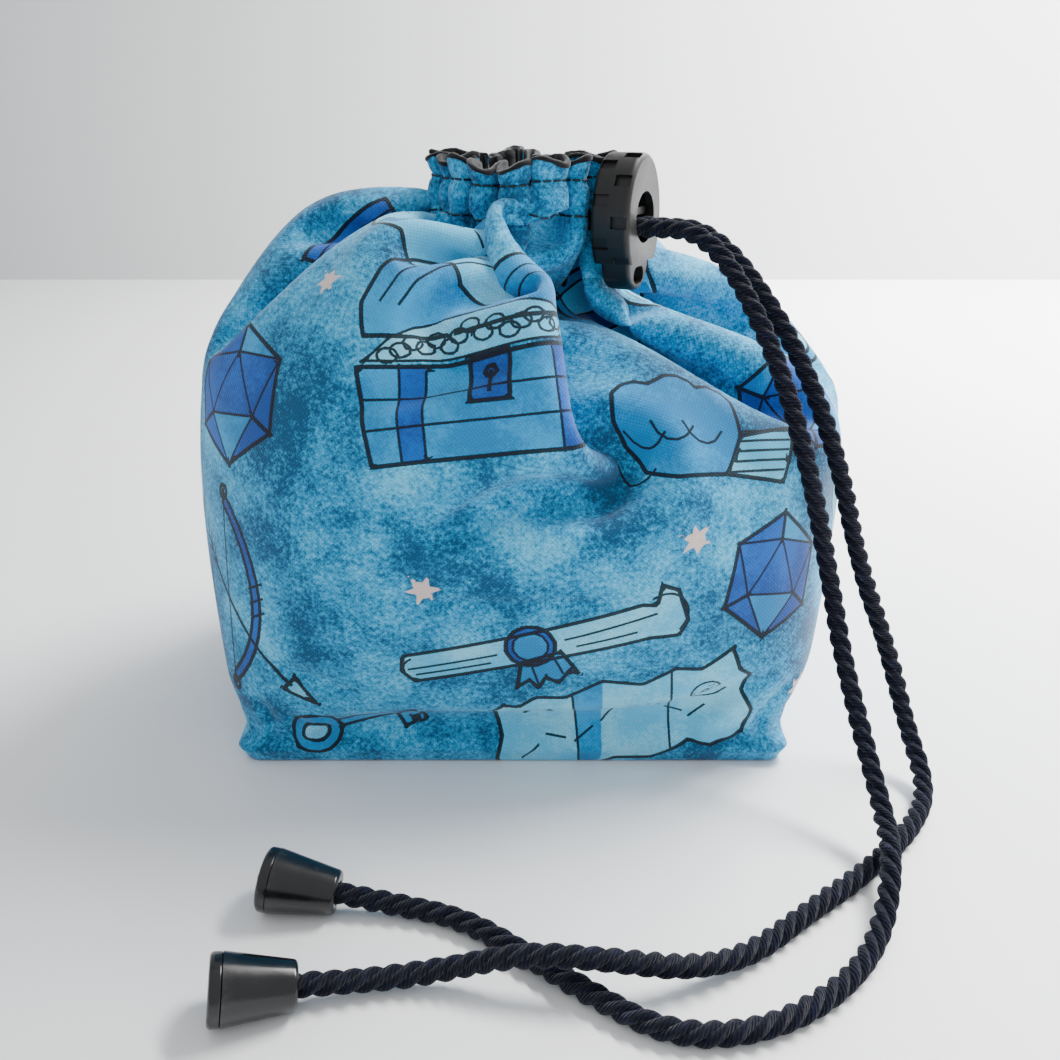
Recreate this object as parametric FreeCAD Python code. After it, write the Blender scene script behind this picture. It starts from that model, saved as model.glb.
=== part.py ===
"""Drawstring dice bag: a lined cotton bag with a boxed bottom, a drawcord in a stitched channel round its
gathered neck, a spring cord lock on the two cord ends, and a snap-on bell on each end.

Millimetres, +Z up. Origin: centre of the bag's box, on the table. +X is the bag's long side, -Y its front.
The cloth is stood for by plain closed shells; the hard pieces are at their real shape and size."""

import FreeCAD
import Part
import math
import os

os.makedirs("parts", exist_ok=True)

Vector = FreeCAD.Vector
UP = Vector(0, 0, 1)

# Bag: (height, half length along X, half width along Y, squareness of the section)
BAG_SECTIONS = [
    (0, 62.75, 47, 6), (4, 64.5, 48.5, 5), (20, 71, 53, 3.2), (38, 78, 57.5, 2.6), (55, 80, 59, 2.4),
    (74, 76, 56.5, 2.3), (84, 71, 53, 2.2), (94, 65, 49.5, 2.1), (103, 57.5, 45, 2), (112, 47.5, 39, 2),
    (116.5, 37, 32, 2), (118.6, 20, 20, 2), (131, 20, 20, 2),
]
SECTION_POINTS = 72
OUTER_CLOTH = 1.0  # thickness of the outer shell
SEAM_SPACE = 1.0  # between the shells, where the seam allowances lie
LINING_CLOTH = 0.8
TOP_EDGE_Z = 130.6  # top of the outer shell, under the lining's rolled edge
ROLLED_EDGE = 0.8
NECK_X = 2.0  # the neck's axis, off the middle of the bag
NECK_R = 20.0
NECK_FROM_Z = 113.0  # where the inside starts to close to the mouth
NECK_Z = 121.5
GATHERS_R = 12.2  # inside of the gathered outer cloth
MOUTH_R = 8.6
NOTCH_Z = 102.5  # the neck is flat and steep behind the cord lock down to here
NOTCH_STEPS = [(84, 62.0), (94, 42.0), (99, 28.0), (NOTCH_Z, 20.3), (131, 20.3)]
NOTCH_FULL, NOTCH_NONE = math.radians(32), math.radians(60)
SEAM_WIDTH = 8.0
STITCH_R = 0.3
STITCH_HEIGHTS = {"upper": 127.2, "lower": 119.7}
BARTACK_L = 7.0

# Drawcord
CORD_D = 4.3
CHANNEL_Z, CHANNEL_R = 123.5, 14.2
CHANNEL_CLEARANCE = 0.2
EXIT_ANGLE = math.radians(-26)
EXIT_Z = 116.9
EXIT_DISTANCE = 20.4  # from the neck's axis
CORD_SPACING = 4.5  # the two cords side by side in the lock
LOCK_RUN = 26.0  # straight length of the cords through the lock

# Cord lock
LOCK_DISTANCE = 26.0
LOCK_Z = 118.5
LOCK_HALF_W, LOCK_HALF_H, LOCK_T = 10.4, 14.0, 9.0
LOCK_FOOT_Z = 109.5
LOCK_HOLE_R, LOCK_HOLE_Z = 5.5, 119.0
WELL_HALF_W, WELL_T = 6.2, 5.6
WELL_TOP_Z = 124.6
FOOT_WELL_HALF_W, FOOT_WELL_T, FOOT_WELL_TOP_Z = 6.5, 7.4, 113.2
POCKET_R, POCKET_TOP_Z = 3.1, 130.6
STEM_HALF_W, STEM_T, STEM_TOP_Z = 5.9, 5.0, 120.9
WINDOW_HALF_W, WINDOW_Z = 4.75, (110.4, 119.35)
FOOT_Z, FOOT_TOP_Z, FOOT_HALF_W, FOOT_T = 103.0, 109.4, 6.2, 6.8
EYE_HALF_W, EYE_H, EYE_Z = 3.0, 3.8, 106.4
NOTCH_W, NOTCH_DEPTH, NOTCH_H = 3.6, 0.9, 2.6  # moulded tread round the rim
TREAD_ANGLES = [-38, -19, 0, 19, 38, 57, 76, 104, 123, 142, 161, 180, 199, 218]
SPRING_R, SPRING_WIRE, SPRING_PITCH = 2.5, 0.6, 1.6

# Cord ends
BELL_L, BELL_R0, BELL_R1 = 14.5, 4.1, 6.4
BELL_SHELL_L = 12.3
BELL_HOLE_R, BELL_NOSE, NOSE_ROUND = 2.35, 3.0, 0.8
CAVITY_R0, CAVITY_R1 = 3.2, 5.4
CAP_R, CAP_PLUG_R, CAP_PLUG_L, CAP_DISH_R, CAP_DISH = 6.0, 4.9, 1.6, 3.7, 0.8
CAP_ROUND, CAP_GROOVE, NUB_R = 0.8, 0.45, 0.8  # rim roundings, and the moulding nub left in a cap's dish
KNOT_R, KNOT_X, KNOT_TAIL = 3.8, 7.9, 4.4
BELL_LEAD = 12.0  # straight length of cord in front of a bell, in line with it

OUTWARD = Vector(math.cos(EXIT_ANGLE), math.sin(EXIT_ANGLE), 0)
ACROSS = Vector(-math.sin(EXIT_ANGLE), math.cos(EXIT_ANGLE), 0)
NECK = Vector(NECK_X, 0, 0)
FLOOR_Z = CORD_D / 2


def tail_start(side):
    """Where a cord leaves the neck; side is -1 for tail a, nearer the front, and +1 for tail b."""
    return NECK + OUTWARD * EXIT_DISTANCE + ACROSS * (side * CORD_SPACING / 2) + UP * EXIT_Z


# Each tail's route after its straight run through the lock, down to its bell
ROUTE_A = [
    (54.5, -37, 96), (62.5, -45, 72), (68.5, -48, 48), (70.5, -55.5, 34), (73.5, -66, 20), (75.5, -77.5, 9.6),
    (73.5, -92, 8.2), (67.5, -106, FLOOR_Z), (57, -118, FLOOR_Z), (42.5, -126.5, FLOOR_Z), (27, -127.5, FLOOR_Z),
    (14, -118.5, FLOOR_Z), (2, -108.5, FLOOR_Z), (-9, -100.5, FLOOR_Z),
]
ROUTE_B = [
    (61, -29, 95), (71, -37, 71), (77.5, -38.5, 47), (86, -42, 26), (92.5, -48, 10.5), (93.5, -61, FLOOR_Z),
    (84, -74, FLOOR_Z), (70, -88, FLOOR_Z), (56, -99, FLOOR_Z), (43, -110, FLOOR_Z), (31, -115.5, 4.6),
    (18, -117, 8.0), (3, -115.5, 8.0), (-10, -114.5, 3.6),
]
BELL_A = {"nose": (-32.2, -96.1), "heading": (-1.0, 0.10), "nub": 1.0}
BELL_B = {"nose": (-35.4, -118.6), "heading": (-1.0, -0.24), "nub": 0.0}


def interpolate(table, z, column):
    """The table's value in that column at height z."""
    if z <= table[0][0]:
        return table[0][column]
    for low, high in zip(table, table[1:]):
        if z <= high[0]:
            share = (z - low[0]) / (high[0] - low[0])
            return low[column] + share * (high[column] - low[column])
    return table[-1][column]


def smooth_step(share):
    share = min(1.0, max(0.0, share))
    return share * share * (3 - 2 * share)


def outside_radius(angle, z):
    """Distance from the section's own centre to the bag's outside, with the notch behind the cord lock."""
    half_x, half_y, square = (interpolate(BAG_SECTIONS, z, i) for i in (1, 2, 3))
    c, s = abs(math.cos(angle)), abs(math.sin(angle))
    full = ((c / half_x) ** square + (s / half_y) ** square) ** (-1 / square)
    off = abs(math.remainder(angle - EXIT_ANGLE, 2 * math.pi))
    if off >= NOTCH_NONE or z < NOTCH_STEPS[0][0]:
        return full
    flat = interpolate(NOTCH_STEPS, z, 1) / math.cos(off)
    weight = 1 - smooth_step((off - NOTCH_FULL) / (NOTCH_NONE - NOTCH_FULL))
    return full + (min(full, flat) - full) * weight


def layer_radius(angle, z, depth, neck_r):
    """As outside_radius, for a surface that lies depth inside, and closes to neck_r at the neck."""
    if depth == 0:
        return outside_radius(angle, z)
    up = z + depth if z > 60 else max(0.0, z - depth)
    inner = outside_radius(angle, up) - depth
    close = smooth_step((z - NECK_FROM_Z) / (NECK_Z - NECK_FROM_Z))
    return inner + (neck_r - inner) * close


def section_wire(z, depth, neck_r):
    """One closed section of a layer. Sections shift from the bag's middle to the neck's axis as they rise."""
    centre_x = NECK_X * smooth_step((z - 60) / 50)
    points = []
    for i in range(SECTION_POINTS):
        angle = 2 * math.pi * i / SECTION_POINTS
        r = layer_radius(angle, z, depth, neck_r)
        points.append(Vector(centre_x + r * math.cos(angle), r * math.sin(angle), z))
    curve = Part.BSplineCurve()
    curve.interpolate(points, PeriodicFlag=True)
    return Part.Wire(curve.toShape())


def layer_solid(depth, neck_r, top_z):
    """The solid inside one layer, from the base to top_z."""
    heights = [depth] + [s[0] for s in BAG_SECTIONS if depth + 1 < s[0] < NECK_Z] + [97, 99, 106, 115, NECK_Z, top_z]
    if depth == 0:
        heights += [NOTCH_Z, BAG_SECTIONS[-2][0]]
    wires = [section_wire(z, depth, neck_r) for z in sorted(set(heights))]
    return Part.makeLoft(wires, True, True, False)


def box(low, high):
    size = [b - a for a, b in zip(low, high)]
    return Part.makeBox(size[0], size[1], size[2], Vector(*low))


def half(shape, sign):
    """The front half, sign -1, or the back half, sign +1."""
    reach = 200
    low_y, high_y = (-reach, 0) if sign < 0 else (0, reach)
    return shape.common(box((-reach, low_y, -1), (reach, high_y, reach)))


def bag_layers():
    """The outer shell, the space for the seams, and the lining, each as one ring-shaped solid."""
    outer_in = layer_solid(OUTER_CLOTH, GATHERS_R, TOP_EDGE_Z + 1)
    lining_depth = OUTER_CLOTH + SEAM_SPACE
    lining_out = layer_solid(lining_depth, GATHERS_R - 0.1, TOP_EDGE_Z)
    lining_in = layer_solid(lining_depth + LINING_CLOTH, MOUTH_R, TOP_EDGE_Z + 3)
    outer = layer_solid(0, NECK_R, TOP_EDGE_Z).cut(outer_in)
    space = outer_in.cut(layer_solid(lining_depth, GATHERS_R - 0.1, TOP_EDGE_Z + 1.5))
    rolled = Part.makeCylinder(NECK_R + 0.2, ROLLED_EDGE, NECK + UP * TOP_EDGE_Z)
    lining = lining_out.fuse(rolled).cut(lining_in).removeSplitter()
    return outer, space, lining


def tube_path(points):
    """Straight runs joined by tangent arcs, each as large as its two runs allow. Returns the wire and radii."""
    edges, radii = [], []
    start = points[0]
    for before, corner, after in zip(points, points[1:], points[2:]):
        back, ahead = before - corner, after - corner
        half_turn = (math.pi - back.getAngle(ahead)) / 2
        trim = 0.45 * min(back.Length, ahead.Length)
        radius = trim / math.tan(half_turn)
        back.normalize()
        ahead.normalize()
        first, last = corner + back * trim, corner + ahead * trim
        inward = (back + ahead).normalize()
        middle = corner + inward * (radius / math.cos(half_turn) - radius)
        edges += [Part.LineSegment(start, first).toShape(), Part.Arc(first, middle, last).toShape()]
        radii.append(radius)
        start = last
    edges.append(Part.LineSegment(start, points[-1]).toShape())
    return Part.Wire(edges), radii


def swept_tube(wire, diameter):
    edge = wire.Edges[0]
    start = edge.valueAt(edge.FirstParameter)
    along = edge.tangentAt(edge.FirstParameter)
    profile = Part.Wire(Part.makeCircle(diameter / 2, start, along))
    return Part.Solid(wire.makePipeShell([profile], True, False))


def bell_axis(bell):
    """The bell's nose and the way it points. It lies on its side, so its axis rises by the cone's half angle."""
    rise = math.atan((BELL_R1 - BELL_R0) / BELL_L)
    flat = Vector(bell["heading"][0], bell["heading"][1], 0).normalize()
    along = flat * math.cos(rise) + UP * math.sin(rise)
    nose = Vector(bell["nose"][0], bell["nose"][1], BELL_R0 * math.cos(rise) + 0.02)
    return nose, along


def cord_tail(name, side, route, bell):
    """One free cord from the neck to the knot in its bell."""
    nose, along = bell_axis(bell)
    start = tail_start(side)
    points = [start, start + OUTWARD * LOCK_RUN] + [Vector(*p) for p in route]
    points += [nose - along * BELL_LEAD, nose + along * KNOT_TAIL]
    wire, radii = tube_path(points)
    tube = swept_tube(wire, CORD_D)
    expected = math.pi * CORD_D ** 2 / 4 * wire.Length
    runs = [(b - a).Length for a, b in zip(points, points[1:])]
    print(name, "length", round(wire.Length, 1), "volume / (section x length)", round(tube.Volume / expected, 4))
    print(name, "radii", [round(r, 1) for r in radii])
    print(name, "runs", [round(r, 1) for r in runs])
    return tube


def drawcord_ring(extra=0.0):
    """The cord inside the channel, with its two ends led out to the tails. extra widens it for the channel."""
    radius = CORD_D / 2 + extra
    gap = math.asin(CORD_SPACING / 2 / CHANNEL_R)
    begin, end = EXIT_ANGLE + gap, EXIT_ANGLE + 2 * math.pi - gap
    centre = NECK + UP * CHANNEL_Z

    def on_ring(angle):
        return centre + Vector(math.cos(angle), math.sin(angle), 0) * CHANNEL_R

    arc = Part.Wire(Part.Arc(on_ring(begin), on_ring((begin + end) / 2), on_ring(end)).toShape())
    ring = swept_tube(arc, 2 * radius)
    for side, angle in ((1, begin), (-1, end)):
        inner, outer = on_ring(angle), tail_start(side)
        lead = outer - inner
        ring = ring.fuse(Part.makeSphere(radius, inner))
        ring = ring.fuse(Part.makeCylinder(radius, lead.Length + extra * 10, inner, lead))
    face_cut = Part.makeBox(20, 60, 60, Vector(0, -30, -30))
    face_cut.Placement = FreeCAD.Placement(
        NECK + OUTWARD * (EXIT_DISTANCE + extra * 10) + UP * EXIT_Z, FreeCAD.Rotation(UP, math.degrees(EXIT_ANGLE))
    )
    return ring.cut(face_cut).removeSplitter()


def stitch_line(z):
    """A row of stitching round the neck, just proud of the cloth."""
    inner_r = NECK_R + 0.03
    row = Part.makeCylinder(inner_r + 2 * STITCH_R, 2 * STITCH_R, NECK + UP * (z - STITCH_R))
    return row.cut(Part.makeCylinder(inner_r, 10, NECK + UP * (z - 5)))


def exit_bartacks():
    """Two short bars of close stitching, above and below the slot that the cords leave by."""
    bars = []
    for z in (EXIT_Z - 3.6, EXIT_Z + 4.4):
        bar = box((NECK_R + 0.35, -BARTACK_L / 2, z - 0.6), (NECK_R + 0.95, BARTACK_L / 2, z + 0.6))
        bar.Placement = FreeCAD.Placement(NECK, FreeCAD.Rotation(UP, math.degrees(EXIT_ANGLE)))
        bars.append(bar)
    return Part.makeCompound(bars)


def seam_pieces(space):
    """The seam allowances, which lie between the outer shell and the lining."""
    w, reach = SEAM_WIDTH / 2, 100
    side_from, side_to = 3.2, 98.0
    base_top, base_end, corner_y = 1.95, 53.0, 42.0
    return {
        "side_seam_left": space.common(box((-reach, -w, side_from), (0, w, side_to))),
        "side_seam_right": space.common(box((0, -w, side_from), (reach, w, side_to))),
        "base_seam": space.common(box((-base_end, -w, 0), (base_end, w, base_top))),
        "corner_seam_left": space.common(box((-reach, -corner_y, 0), (-base_end - 1, corner_y, base_top))),
        "corner_seam_right": space.common(box((base_end + 1, -corner_y, 0), (reach, corner_y, base_top))),
    }


def to_lock_frame(shape):
    """Moves a piece drawn at the origin, with X through the lock and Z up, to the lock's place."""
    place = FreeCAD.Placement(NECK + OUTWARD * LOCK_DISTANCE, FreeCAD.Rotation(UP, math.degrees(EXIT_ANGLE)))
    shape.Placement = place.multiply(shape.Placement)
    return shape


def lock_block(half_w, half_h, centre_z, thick, edge):
    """An oval plate standing on edge, with rounded rims."""
    oval = Part.Ellipse(Vector(0, 0, 0), max(half_w, half_h), min(half_w, half_h)).toShape()
    face = Part.Face(Part.Wire(oval))
    plate = face.extrude(Vector(0, 0, thick))
    plate = plate.makeFillet(edge, plate.Edges) if edge else plate
    plate.translate(Vector(0, 0, -thick / 2))
    plate.rotate(Vector(0, 0, 0), Vector(0, 1, 0), 90)  # the long axis, X, goes to Z and the thickness to X
    plate.translate(Vector(0, 0, centre_z))
    return plate


def centred_box(thick, half_w, low_z, high_z):
    return box((-thick / 2, -half_w, low_z), (thick / 2, half_w, high_z))


def lock_body():
    body = lock_block(LOCK_HALF_W, LOCK_HALF_H, LOCK_Z, LOCK_T, 1.2)
    body = body.cut(box((-20, -20, 90), (20, 20, LOCK_FOOT_Z)))
    body = body.cut(Part.makeCylinder(LOCK_HOLE_R, 40, Vector(-20, 0, LOCK_HOLE_Z), Vector(1, 0, 0)))
    body = body.cut(centred_box(WELL_T, WELL_HALF_W, 90, WELL_TOP_Z))
    body = body.cut(centred_box(FOOT_WELL_T, FOOT_WELL_HALF_W, 90, FOOT_WELL_TOP_Z))
    body = body.cut(Part.makeCylinder(POCKET_R, POCKET_TOP_Z - 100, Vector(0, 0, 100)))
    for i, degrees in enumerate(TREAD_ANGLES):
        angle = math.radians(degrees)
        y, z = LOCK_HALF_W * math.cos(angle), LOCK_HALF_H * math.sin(angle)
        normal = math.atan2(z * LOCK_HALF_W ** 2, y * LOCK_HALF_H ** 2)
        row_x = 0.4 if i % 2 else -NOTCH_W - 0.4
        tread = box((row_x, -NOTCH_DEPTH, -NOTCH_H / 2), (row_x + NOTCH_W, NOTCH_DEPTH + 2, NOTCH_H / 2))
        tread.rotate(Vector(0, 0, 0), Vector(1, 0, 0), math.degrees(normal))
        tread.translate(Vector(0, y, LOCK_Z + z))
        body = body.cut(tread)
    return to_lock_frame(body.removeSplitter())


def lock_plunger():
    """The button at the lock's foot, with its lanyard eye, and the stem whose window the cords pass through."""
    stem = centred_box(STEM_T, STEM_HALF_W, FOOT_TOP_Z - 1, STEM_TOP_Z)
    stem = stem.cut(centred_box(20, WINDOW_HALF_W, *WINDOW_Z))
    foot = lock_block(FOOT_HALF_W, 6.4, FOOT_TOP_Z, FOOT_T, 1.0)
    foot = foot.cut(box((-20, -20, FOOT_TOP_Z), (20, 20, 130)))
    eye = centred_box(20, EYE_HALF_W, EYE_Z - EYE_H / 2, EYE_Z + EYE_H / 2)
    eye = eye.makeFillet(EYE_H / 2 - 0.1, [e for e in eye.Edges if abs(e.tangentAt(0).x) > 0.99])
    return to_lock_frame(foot.fuse(stem).cut(eye).removeSplitter())


def lock_spring():
    """A compression spring between the stem's top and the pocket's end."""
    low, high = STEM_TOP_Z + SPRING_WIRE / 2 + 0.1, POCKET_TOP_Z - SPRING_WIRE / 2 - 0.1
    helix = Part.makeHelix(SPRING_PITCH, high - low, SPRING_R - SPRING_WIRE / 2)
    start = helix.Edges[0].valueAt(helix.Edges[0].FirstParameter)
    along = helix.Edges[0].tangentAt(helix.Edges[0].FirstParameter)
    profile = Part.Wire(Part.makeCircle(SPRING_WIRE / 2, start, along))
    coil = Part.Solid(Part.Wire(helix).makePipeShell([profile], True, True))
    coil.translate(Vector(0, 0, low))
    return to_lock_frame(coil)


def along_bell(shape, bell):
    """Moves a piece drawn along +X from the nose at the origin to its bell."""
    nose, along = bell_axis(bell)
    shape.Placement = FreeCAD.Placement(nose, FreeCAD.Rotation(Vector(1, 0, 0), along))
    return shape


def bell_shell(bell):
    ahead = Vector(1, 0, 0)
    shell_r1 = BELL_R0 + (BELL_R1 - BELL_R0) * BELL_SHELL_L / BELL_L
    shell = Part.makeCone(BELL_R0, shell_r1, BELL_SHELL_L, Vector(0, 0, 0), ahead)
    shell = shell.makeFillet(NOSE_ROUND, [e for e in shell.Edges if e.BoundBox.XMax < 0.1 and e.Closed])
    cavity = Part.makeCone(
        CAVITY_R0, CAVITY_R1, BELL_SHELL_L - BELL_NOSE + 0.1, Vector(BELL_NOSE, 0, 0), ahead
    )
    shell = shell.cut(cavity).cut(Part.makeCylinder(BELL_HOLE_R, BELL_NOSE + 1, Vector(-0.5, 0, 0), ahead))
    return along_bell(shell, bell)


def bell_cap(bell):
    """The snap cap that closes the bell's wide end, with a shallow dish in its face."""
    ahead = Vector(1, 0, 0)
    cap = Part.makeCylinder(CAP_R, BELL_L - BELL_SHELL_L, Vector(BELL_SHELL_L, 0, 0), ahead)
    cap = cap.makeFillet(CAP_ROUND, [e for e in cap.Edges if e.BoundBox.XMin > BELL_L - 0.1 and e.Closed])
    cap = cap.makeFillet(CAP_GROOVE, [e for e in cap.Edges if e.BoundBox.XMax < BELL_SHELL_L + 0.1 and e.Closed])
    plug_x = BELL_SHELL_L - CAP_PLUG_L
    plug = Part.makeCylinder(CAP_PLUG_R, CAP_PLUG_L, Vector(plug_x, 0, 0), ahead)
    plug = plug.cut(Part.makeCylinder(CAP_PLUG_R - 1.1, CAP_PLUG_L, Vector(plug_x, 0, 0), ahead))
    cap = cap.fuse(plug)
    cap = cap.cut(Part.makeCylinder(CAP_DISH_R, 2, Vector(BELL_L - CAP_DISH, 0, 0), ahead))
    if bell["nub"]:
        cap = cap.fuse(Part.makeCylinder(NUB_R, CAP_DISH + bell["nub"], Vector(BELL_L - CAP_DISH, 0, 0), ahead))
    return along_bell(cap.removeSplitter(), bell)


def cord_knot(bell):
    """The stopper knot inside the bell."""
    knot = Part.makeSphere(KNOT_R, Vector(KNOT_X, 0, 0))
    knot = knot.fuse(Part.makeCylinder(CORD_D / 2, KNOT_X - KNOT_TAIL, Vector(KNOT_TAIL, 0, 0), Vector(1, 0, 0)))
    return along_bell(knot.removeSplitter(), bell)


def export(name, shape):
    if not shape.isValid():
        print("INVALID", name)
    solids = shape.Solids
    shape = solids[0] if len(solids) == 1 else Part.makeCompound(solids)
    shape.exportStep("parts/" + name + ".step")
    bounds = shape.optimalBoundingBox(False)
    print(
        f"{name:22s} solids {len(solids)} volume {shape.Volume:10.1f}  "
        f"x {bounds.XMin:.1f}..{bounds.XMax:.1f} y {bounds.YMin:.1f}..{bounds.YMax:.1f} "
        f"z {bounds.ZMin:.2f}..{bounds.ZMax:.2f}"
    )


def main():
    outer, space, lining = bag_layers()
    channel = drawcord_ring(CHANNEL_CLEARANCE)
    outer = outer.cut(channel)
    for name, sign in (("front", -1), ("back", 1)):
        export("outer_" + name + "_panel", half(outer, sign))
        export("lining_" + name + "_panel", half(lining, sign))
    for name, shape in seam_pieces(space).items():
        export(name, shape)
    for name, z in STITCH_HEIGHTS.items():
        export("casing_stitch_" + name, stitch_line(z).cut(channel))
    export("cord_exit_bartacks", exit_bartacks())
    export("drawcord_ring", drawcord_ring())
    export("lock_body", lock_body())
    export("lock_plunger", lock_plunger())
    export("lock_spring", lock_spring())
    for letter, side, route, bell in (("a", -1, ROUTE_A, BELL_A), ("b", 1, ROUTE_B, BELL_B)):
        export("drawcord_tail_" + letter, cord_tail("tail " + letter, side, route, bell))
        export("cord_end_bell_" + letter, bell_shell(bell))
        export("cord_end_cap_" + letter, bell_cap(bell))
        export("cord_knot_" + letter, cord_knot(bell))


main()
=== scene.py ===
"""Looks for the drawstring dice bag: printed cotton settled as a sheet of springs, twisted cord, moulded lock
and bells.

Lengths in this file are millimetres until mesh data is written, which is in metres."""

import math

import bpy
import numpy as np
from mathutils.bvhtree import BVHTree
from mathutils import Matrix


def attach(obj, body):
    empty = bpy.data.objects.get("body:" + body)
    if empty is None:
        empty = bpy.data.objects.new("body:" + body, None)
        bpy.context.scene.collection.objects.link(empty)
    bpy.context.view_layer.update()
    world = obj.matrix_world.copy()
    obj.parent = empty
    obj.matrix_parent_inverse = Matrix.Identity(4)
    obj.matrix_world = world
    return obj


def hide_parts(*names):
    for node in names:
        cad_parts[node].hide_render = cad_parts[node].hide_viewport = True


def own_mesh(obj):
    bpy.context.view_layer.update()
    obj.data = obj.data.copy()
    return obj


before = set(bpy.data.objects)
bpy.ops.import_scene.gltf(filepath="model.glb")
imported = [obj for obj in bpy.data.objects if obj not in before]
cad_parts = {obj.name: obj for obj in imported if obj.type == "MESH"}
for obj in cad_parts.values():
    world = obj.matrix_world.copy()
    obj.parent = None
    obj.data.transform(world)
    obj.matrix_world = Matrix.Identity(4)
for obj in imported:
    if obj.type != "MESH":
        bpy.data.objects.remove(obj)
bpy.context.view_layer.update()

MM = 0.001
TAU = 2 * math.pi

# ---------------------------------------------------------------- sizes, in millimetres
CORD_D = 4.3
EXIT_ANGLE = math.radians(-26)
OUTWARD = np.array([math.cos(EXIT_ANGLE), math.sin(EXIT_ANGLE), 0.0])
ACROSS = np.array([-math.sin(EXIT_ANGLE), math.cos(EXIT_ANGLE), 0.0])
UP = np.array([0.0, 0.0, 1.0])
NECK = np.array([2.0, 0.0, 0.0])
EXIT_Z, EXIT_DISTANCE, CORD_SPACING = 116.9, 20.4, 4.5
FLOOR_Z = CORD_D / 2
LOCK_AXIS = NECK + OUTWARD * 26.0  # the button and its spring move along this line, straight up

GIRTH = 439.0  # the cloth tube's circumference, the same at every height
BASE_HALF = (62.75, 47.0)
BASE_CORNER_R = 4.0
CLOTH_TOP = 170.5  # cloth height from the base edge to the top edge
STITCH_LOW, STITCH_HIGH = 159.0, 166.5
PLEATS = 20
CREST_R, VALLEY_R = 20.6, 12.4
NECK_Z_LOW, NECK_Z_TOP = 119.3, 130.7
CLOTH_T = 0.35
LINING_GAP = 0.55

# Bag form: cloth height, height above the table, half length, half width, squareness
FORM = [
    (0, 0.3, 62.75, 47, 7), (22, 21, 70, 53, 3.2), (42, 40.5, 77, 57.5, 2.6), (57, 55, 80, 59, 2.4),
    (76, 74, 77, 57.5, 2.3), (94, 90, 70, 52.5, 2.2), (110, 103, 60, 46, 2.1), (124, 112, 49, 39.5, 2),
    (140, 119, 37, 33, 2), (159, 120, 20, 20, 2),
]


# ---------------------------------------------------------------- small helpers
def srgb(code):
    """Linear colour from a hex code."""
    parts = [int(code[i:i + 2], 16) / 255 for i in (1, 3, 5)]
    return tuple(c / 12.92 if c <= 0.04045 else ((c + 0.055) / 1.055) ** 2.4 for c in parts)


def smooth(x):
    x = np.clip(x, 0.0, 1.0)
    return x * x * (3 - 2 * x)


def unit(v):
    return v / np.maximum(np.linalg.norm(v, axis=-1, keepdims=True), 1e-9)


def wobble(i, seed):
    """A repeatable number from -1 to 1."""
    return math.sin(i * 12.9898 + seed * 78.233) * 43758.5453 % 1.0 * 2 - 1


def fast_mesh(name, verts_mm, quads, tris=(), rounded=True):
    """A mesh object from arrays of vertices in millimetres, quads and triangles."""
    quads, tris = np.asarray(quads, np.int32).reshape(-1, 4), np.asarray(tris, np.int32).reshape(-1, 3)
    mesh = bpy.data.meshes.new(name)
    mesh.vertices.add(len(verts_mm))
    mesh.vertices.foreach_set("co", (np.asarray(verts_mm, np.float64) * MM).astype(np.float32).ravel())
    mesh.loops.add(quads.size + tris.size)
    mesh.loops.foreach_set("vertex_index", np.concatenate([quads.ravel(), tris.ravel()]))
    mesh.polygons.add(len(quads) + len(tris))
    starts = np.concatenate([np.arange(len(quads)) * 4,
        quads.size + np.arange(len(tris)) * 3]).astype(np.int32)
    mesh.polygons.foreach_set("loop_start", starts)
    mesh.update(calc_edges=True)
    mesh.polygons.foreach_set("use_smooth", np.full(len(mesh.polygons), rounded))
    mesh.validate()
    ob = bpy.data.objects.new(name, mesh)
    bpy.context.scene.collection.objects.link(ob)
    return ob


def set_attribute(ob, name, values):
    """A vector for each vertex."""
    layer = ob.data.attributes.new(name, "FLOAT_VECTOR", "POINT")
    layer.data.foreach_set("vector", np.asarray(values, np.float32).ravel())


def tube_quads(rings, sides, closed=False):
    """Faces between rings of points that follow one another along a tube."""
    i, k = np.meshgrid(np.arange(rings if closed else rings - 1), np.arange(sides), indexing="ij")
    j, k2 = (i + 1) % rings, (k + 1) % sides
    return np.stack([i * sides + k, i * sides + k2, j * sides + k2, j * sides + k], -1).reshape(-1, 4)


def cap_tris(first, last, sides):
    """Flat ends of a tube whose end rings begin at vertex first and at vertex last."""
    fan = range(1, sides - 1)
    return [(first, first + k + 1, first + k) for k in fan] + [(last, last + k, last + k + 1) for k in fan]


def dress(ob, slot, *nodes, body="bag"):
    """Gives a piece its material and slot, the body it moves with and the CAD nodes it stands for."""
    ob.data.materials.append(MATERIALS[slot])
    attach(ob, body)
    if nodes:
        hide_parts(*nodes)
    return ob


# ---------------------------------------------------------------- camera and stage
def make_camera():
    """At the height and tilt of a hand-held camera just above the bag's mouth."""
    data = bpy.data.cameras.new("camera")
    data.lens, data.sensor_width = 36.0, 36.0
    ob = bpy.data.objects.new("camera", data)
    ob.location = (0.004, -0.256, 0.1426)
    ob.rotation_euler = (math.radians(90 - 22), 0, 0)
    bpy.context.scene.collection.objects.link(ob)
    bpy.context.scene.camera = ob


def plain_material(name, colour, rough):
    mat = bpy.data.materials.new(name)
    mat.use_nodes = True
    shader = mat.node_tree.nodes["Principled BSDF"]
    shader.inputs["Base Color"].default_value = (*colour, 1)
    shader.inputs["Roughness"].default_value = rough
    return mat


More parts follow.
